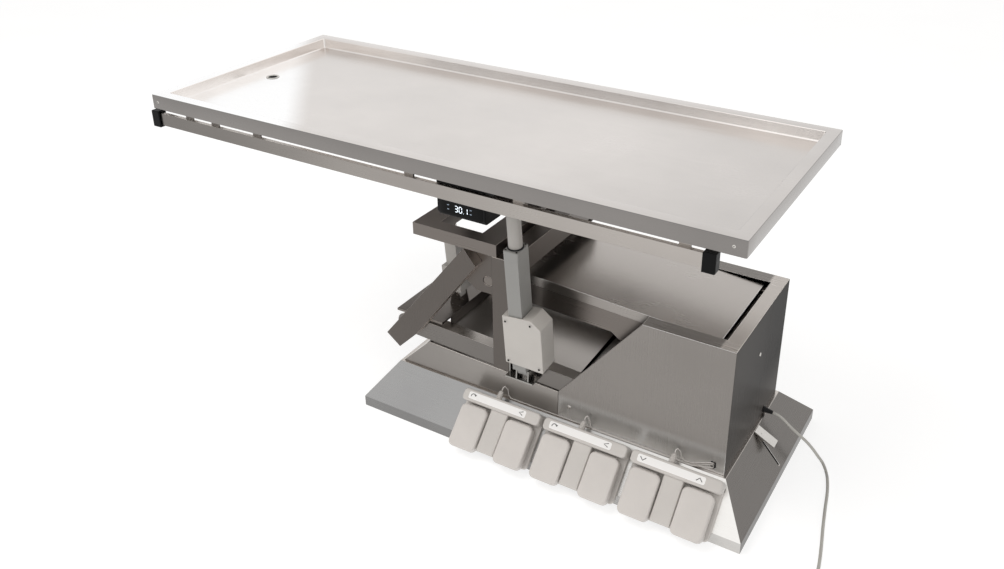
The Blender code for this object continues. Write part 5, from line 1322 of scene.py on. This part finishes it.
class TABLE_OT_pedals(bpy.types.Operator):
    """Makes the moulded pedals with their pads, labels, symbols and leads"""

    bl_idname = "table.pedals"
    bl_label = "Pedals"

    def execute(self, context):
        pads = iter(range(1, 7))
        for number, left in enumerate(PEDAL_UNITS_X, 1):
            matrix = slope_frame(left + PEDESTAL_X)
            self.unit(number, matrix)
            for side in (0, 1):
                self.pad(next(pads), side, matrix)
            self.label(number, matrix)
            dressed(f"pedal_lead_{number}", look("lead rubber"), 0)
        return {"FINISHED"}

    def slab(self, low, high, radius, foot, top, edge):
        """A slab with a rounded outline and a rounded top edge, between two corners of its plan."""
        half = (np.array(high) - np.array(low)) / 2
        middle = (np.array(high) + np.array(low)) / 2
        rows = [(0.0, foot)]
        rows += [(edge * (1 - cos(a)), top - edge * (1 - sin(a))) for a in np.linspace(0, pi / 2, 7)]
        mesh = capped("slab", slab_loops(*half, radius, rows, 8))
        return place(mesh, Matrix.Translation((*middle, 0)))

    def unit(self, number, matrix):
        """The body: a thin plate, the raised bar along its back and the web between its pads."""
        near, far = PEDAL_SPAN
        middle = PEDAL_LONG / 2
        body = [self.slab((0, near), (PEDAL_LONG, far), 0.0115, FIT, 0.0070, 0.0030),
                self.slab((0, far - BAR_WIDE), (PEDAL_LONG, far), 0.0090, FIT, BAR_TOP, 0.0040),
                self.slab((middle - WEB_HALF, near), (middle + WEB_HALF, far - 0.010), 0.0040, FIT,
                          0.0268, 0.0034)]
        body.append(self.relief())
        for side in (0, 1):
            start = self.pad_start(side)
            body.append(block_mesh("seat", (start + 0.013, 0.0605, 0.003), (start + 0.053, 0.0712, 0.0114),
                                   0.001))
        mesh = joined(f"pedal_body_{number}", body)
        node = f"pedal_unit_{number}"
        piece(f"pedal_body_{number}", place(mesh, matrix), "base", look("pedal plastic"), (node,), 50)

    def pad_start(self, side):
        """The left edge of a unit's left or right pad."""
        return PAD_MARGIN if side == 0 else PEDAL_LONG - PAD_MARGIN - PAD_LONG

    def relief(self):
        """A ribbed cone where the lead leaves the bar."""
        profile = [(0, 0), (0.0080, 0)]
        for k in range(6):
            way = 0.0020 + k * 0.0033
            outer = 0.0080 - 0.0022 * k / 5
            profile += [(outer - 0.0013, way), (outer, way + 0.0006), (outer, way + 0.0017),
                        (outer - 0.0013, way + 0.0023)]
        profile += [(0.0022, 0.0232), (0, 0.0236)]
        x = PEDAL_LONG * 0.42
        return turned_mesh("relief", profile, (x, PEDAL_SPAN[1] - 0.004, 0.022), (0, 1, 0), 28)

    def pad(self, number, side, matrix):
        """A pad: a rounded edge all round, a slight crown, and its hinge barrel under the back edge."""
        size = sizes()
        start = self.pad_start(side)
        half_x = PAD_LONG / 2
        half_y = (PAD_SPAN[1] - PAD_SPAN[0]) / 2
        edge = size.pad_edge
        rows = [(0.0012, PAD_FOOT), (0.0003, PAD_FOOT + 0.0004), (0.0, PAD_FOOT + 0.0013)]
        rows += [(edge * (1 - cos(a)), PAD_TOP - edge * (1 - sin(a))) for a in np.linspace(0, pi / 2, 7)]
        loops = slab_loops(half_x, half_y, PAD_CORNER, rows, steps=8)
        shell = capped("pad", loops, size.pad_crown, 8)
        place(shell, Matrix.Translation((start + half_x, (PAD_SPAN[0] + PAD_SPAN[1]) / 2, 0)))
        profile = [(0, 0), (0.0030, 0), (0.0035, 0.0006), (0.0035, 0.0394), (0.0030, 0.0400), (0, 0.0400)]
        barrel = turned_mesh("barrel", profile, (start + 0.013, PAD_SPAN[1], PAD_FOOT), (1, 0, 0), 20)
        mesh = joined(f"pedal_pad_{number}_skin", [shell, barrel])
        piece(f"pedal_pad_{number}_skin", place(mesh, matrix), f"pad_{number}", look("pad plastic"),
              (f"pedal_pad_{number}",), 50)

    def label(self, number, matrix):
        """A white strip on the bar, bare but for a small symbol near each end."""
        start, end = LABEL_SPAN
        rows = [(0.0001, -0.0004), (0.0, 0.0), (0.0002, 0.0003)]
        strip = capped("strip", slab_loops((end - start) / 2, LABEL_HALF, 0.0040, rows))
        place(strip, Matrix.Translation(((start + end) / 2, LABEL_Y, 0.0336)))
        piece(f"pedal_label_{number}", place(strip, matrix), "base", look("label film"))
        marks = []
        for x, flip in ((start + SYMBOL_INSET, 1), (end - SYMBOL_INSET, -1)):
            if number == 3:
                shapes = [[(-0.0062, 0.0032 * flip), (0.0, -0.0032 * flip), (0.0062, 0.0032 * flip)]]
            elif flip > 0:
                angle = np.linspace(radians(200), radians(20), 9)
                arc = [(0.0056 * cos(a), 0.0048 * sin(a) - 0.0008) for a in angle]
                shapes = [arc, [(0.0026, 0.0018), (0.0052, 0.0004), (0.0068, 0.0034)]]
            else:
                shapes = [[(0.0050, 0.0046), (-0.0044, 0.0006), (0.0050, -0.0034)]]
            for line in shapes:
                path = [(x + dx, LABEL_Y + dy, 0.0340) for dx, dy in line]
                marks.append(self.stroke(path, 0.0017))
        mesh = joined(f"pedal_symbols_{number}", marks)
        piece(f"pedal_symbols_{number}", place(mesh, matrix), "base", look("symbol ink"))

    def stroke(self, path, wide):
        """A flat inked line along a path: at each point a low rounded cross-section square to the way."""
        path = np.array(path)
        along = np.gradient(path, axis=0)
        along /= np.linalg.norm(along, axis=1)[:, None]
        side = np.column_stack((-along[:, 1], along[:, 0], np.zeros(len(path)))) * wide / 2
        up = np.array((0, 0, 0.00018))
        rows = np.stack((path - side - up, path + side - up, path + side * 0.9 + up,
                         path - side * 0.9 + up), axis=1)
        ends = [np.repeat(p[None], 4, axis=0)[None] for p in (path[0], path[-1])]
        return grid_mesh("stroke", np.vstack((ends[0], rows, ends[1])), closed_columns=True)


class TABLE_OT_lever(bpy.types.Operator):
    """Dresses the foot lever in the right slope"""

    bl_idname = "table.lever"
    bl_label = "Foot lever"

    def execute(self, context):
        dress(("foot_lever", "bright steel", "plate_edge"))
        return {"FINISHED"}


class TABLE_PT_panel(bpy.types.Panel):
    """Sizes, colours and steps of the table"""

    bl_label = "Operating table"
    bl_idname = "TABLE_PT_panel"
    bl_space_type = "VIEW_3D"
    bl_region_type = "UI"
    bl_category = "Table"

    def draw(self, context):
        layout = self.layout
        for group in (context.scene.table_sizes, context.scene.table_colours, context.scene.table_stage):
            box = layout.box()
            for name in group.__annotations__:
                box.prop(group, name)
        for step in STEPS:
            layout.operator(step.bl_idname)


STEPS = (
    TABLE_OT_stage, TABLE_OT_mains, TABLE_OT_tray, TABLE_OT_rails, TABLE_OT_underframe, TABLE_OT_display,
    TABLE_OT_base, TABLE_OT_arms, TABLE_OT_carrier, TABLE_OT_tilt, TABLE_OT_cylinders, TABLE_OT_pedals,
    TABLE_OT_lever,
)
CLASSES = (TableSizes, TableColours, StageSettings, *STEPS, TABLE_PT_panel)


def register():
    for item in CLASSES:
        bpy.utils.register_class(item)
    bpy.types.Scene.table_sizes = PointerProperty(type=TableSizes)
    bpy.types.Scene.table_colours = PointerProperty(type=TableColours)
    bpy.types.Scene.table_stage = PointerProperty(type=StageSettings)


def unregister():
    del bpy.types.Scene.table_stage
    del bpy.types.Scene.table_colours
    del bpy.types.Scene.table_sizes
    for item in reversed(CLASSES):
        bpy.utils.unregister_class(item)


def main():
    """Registers the add-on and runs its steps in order."""
    register()
    for step in STEPS:
        group, name = step.bl_idname.split(".")
        getattr(getattr(bpy.ops, group), name)()


if __name__ == "__main__":
    main()
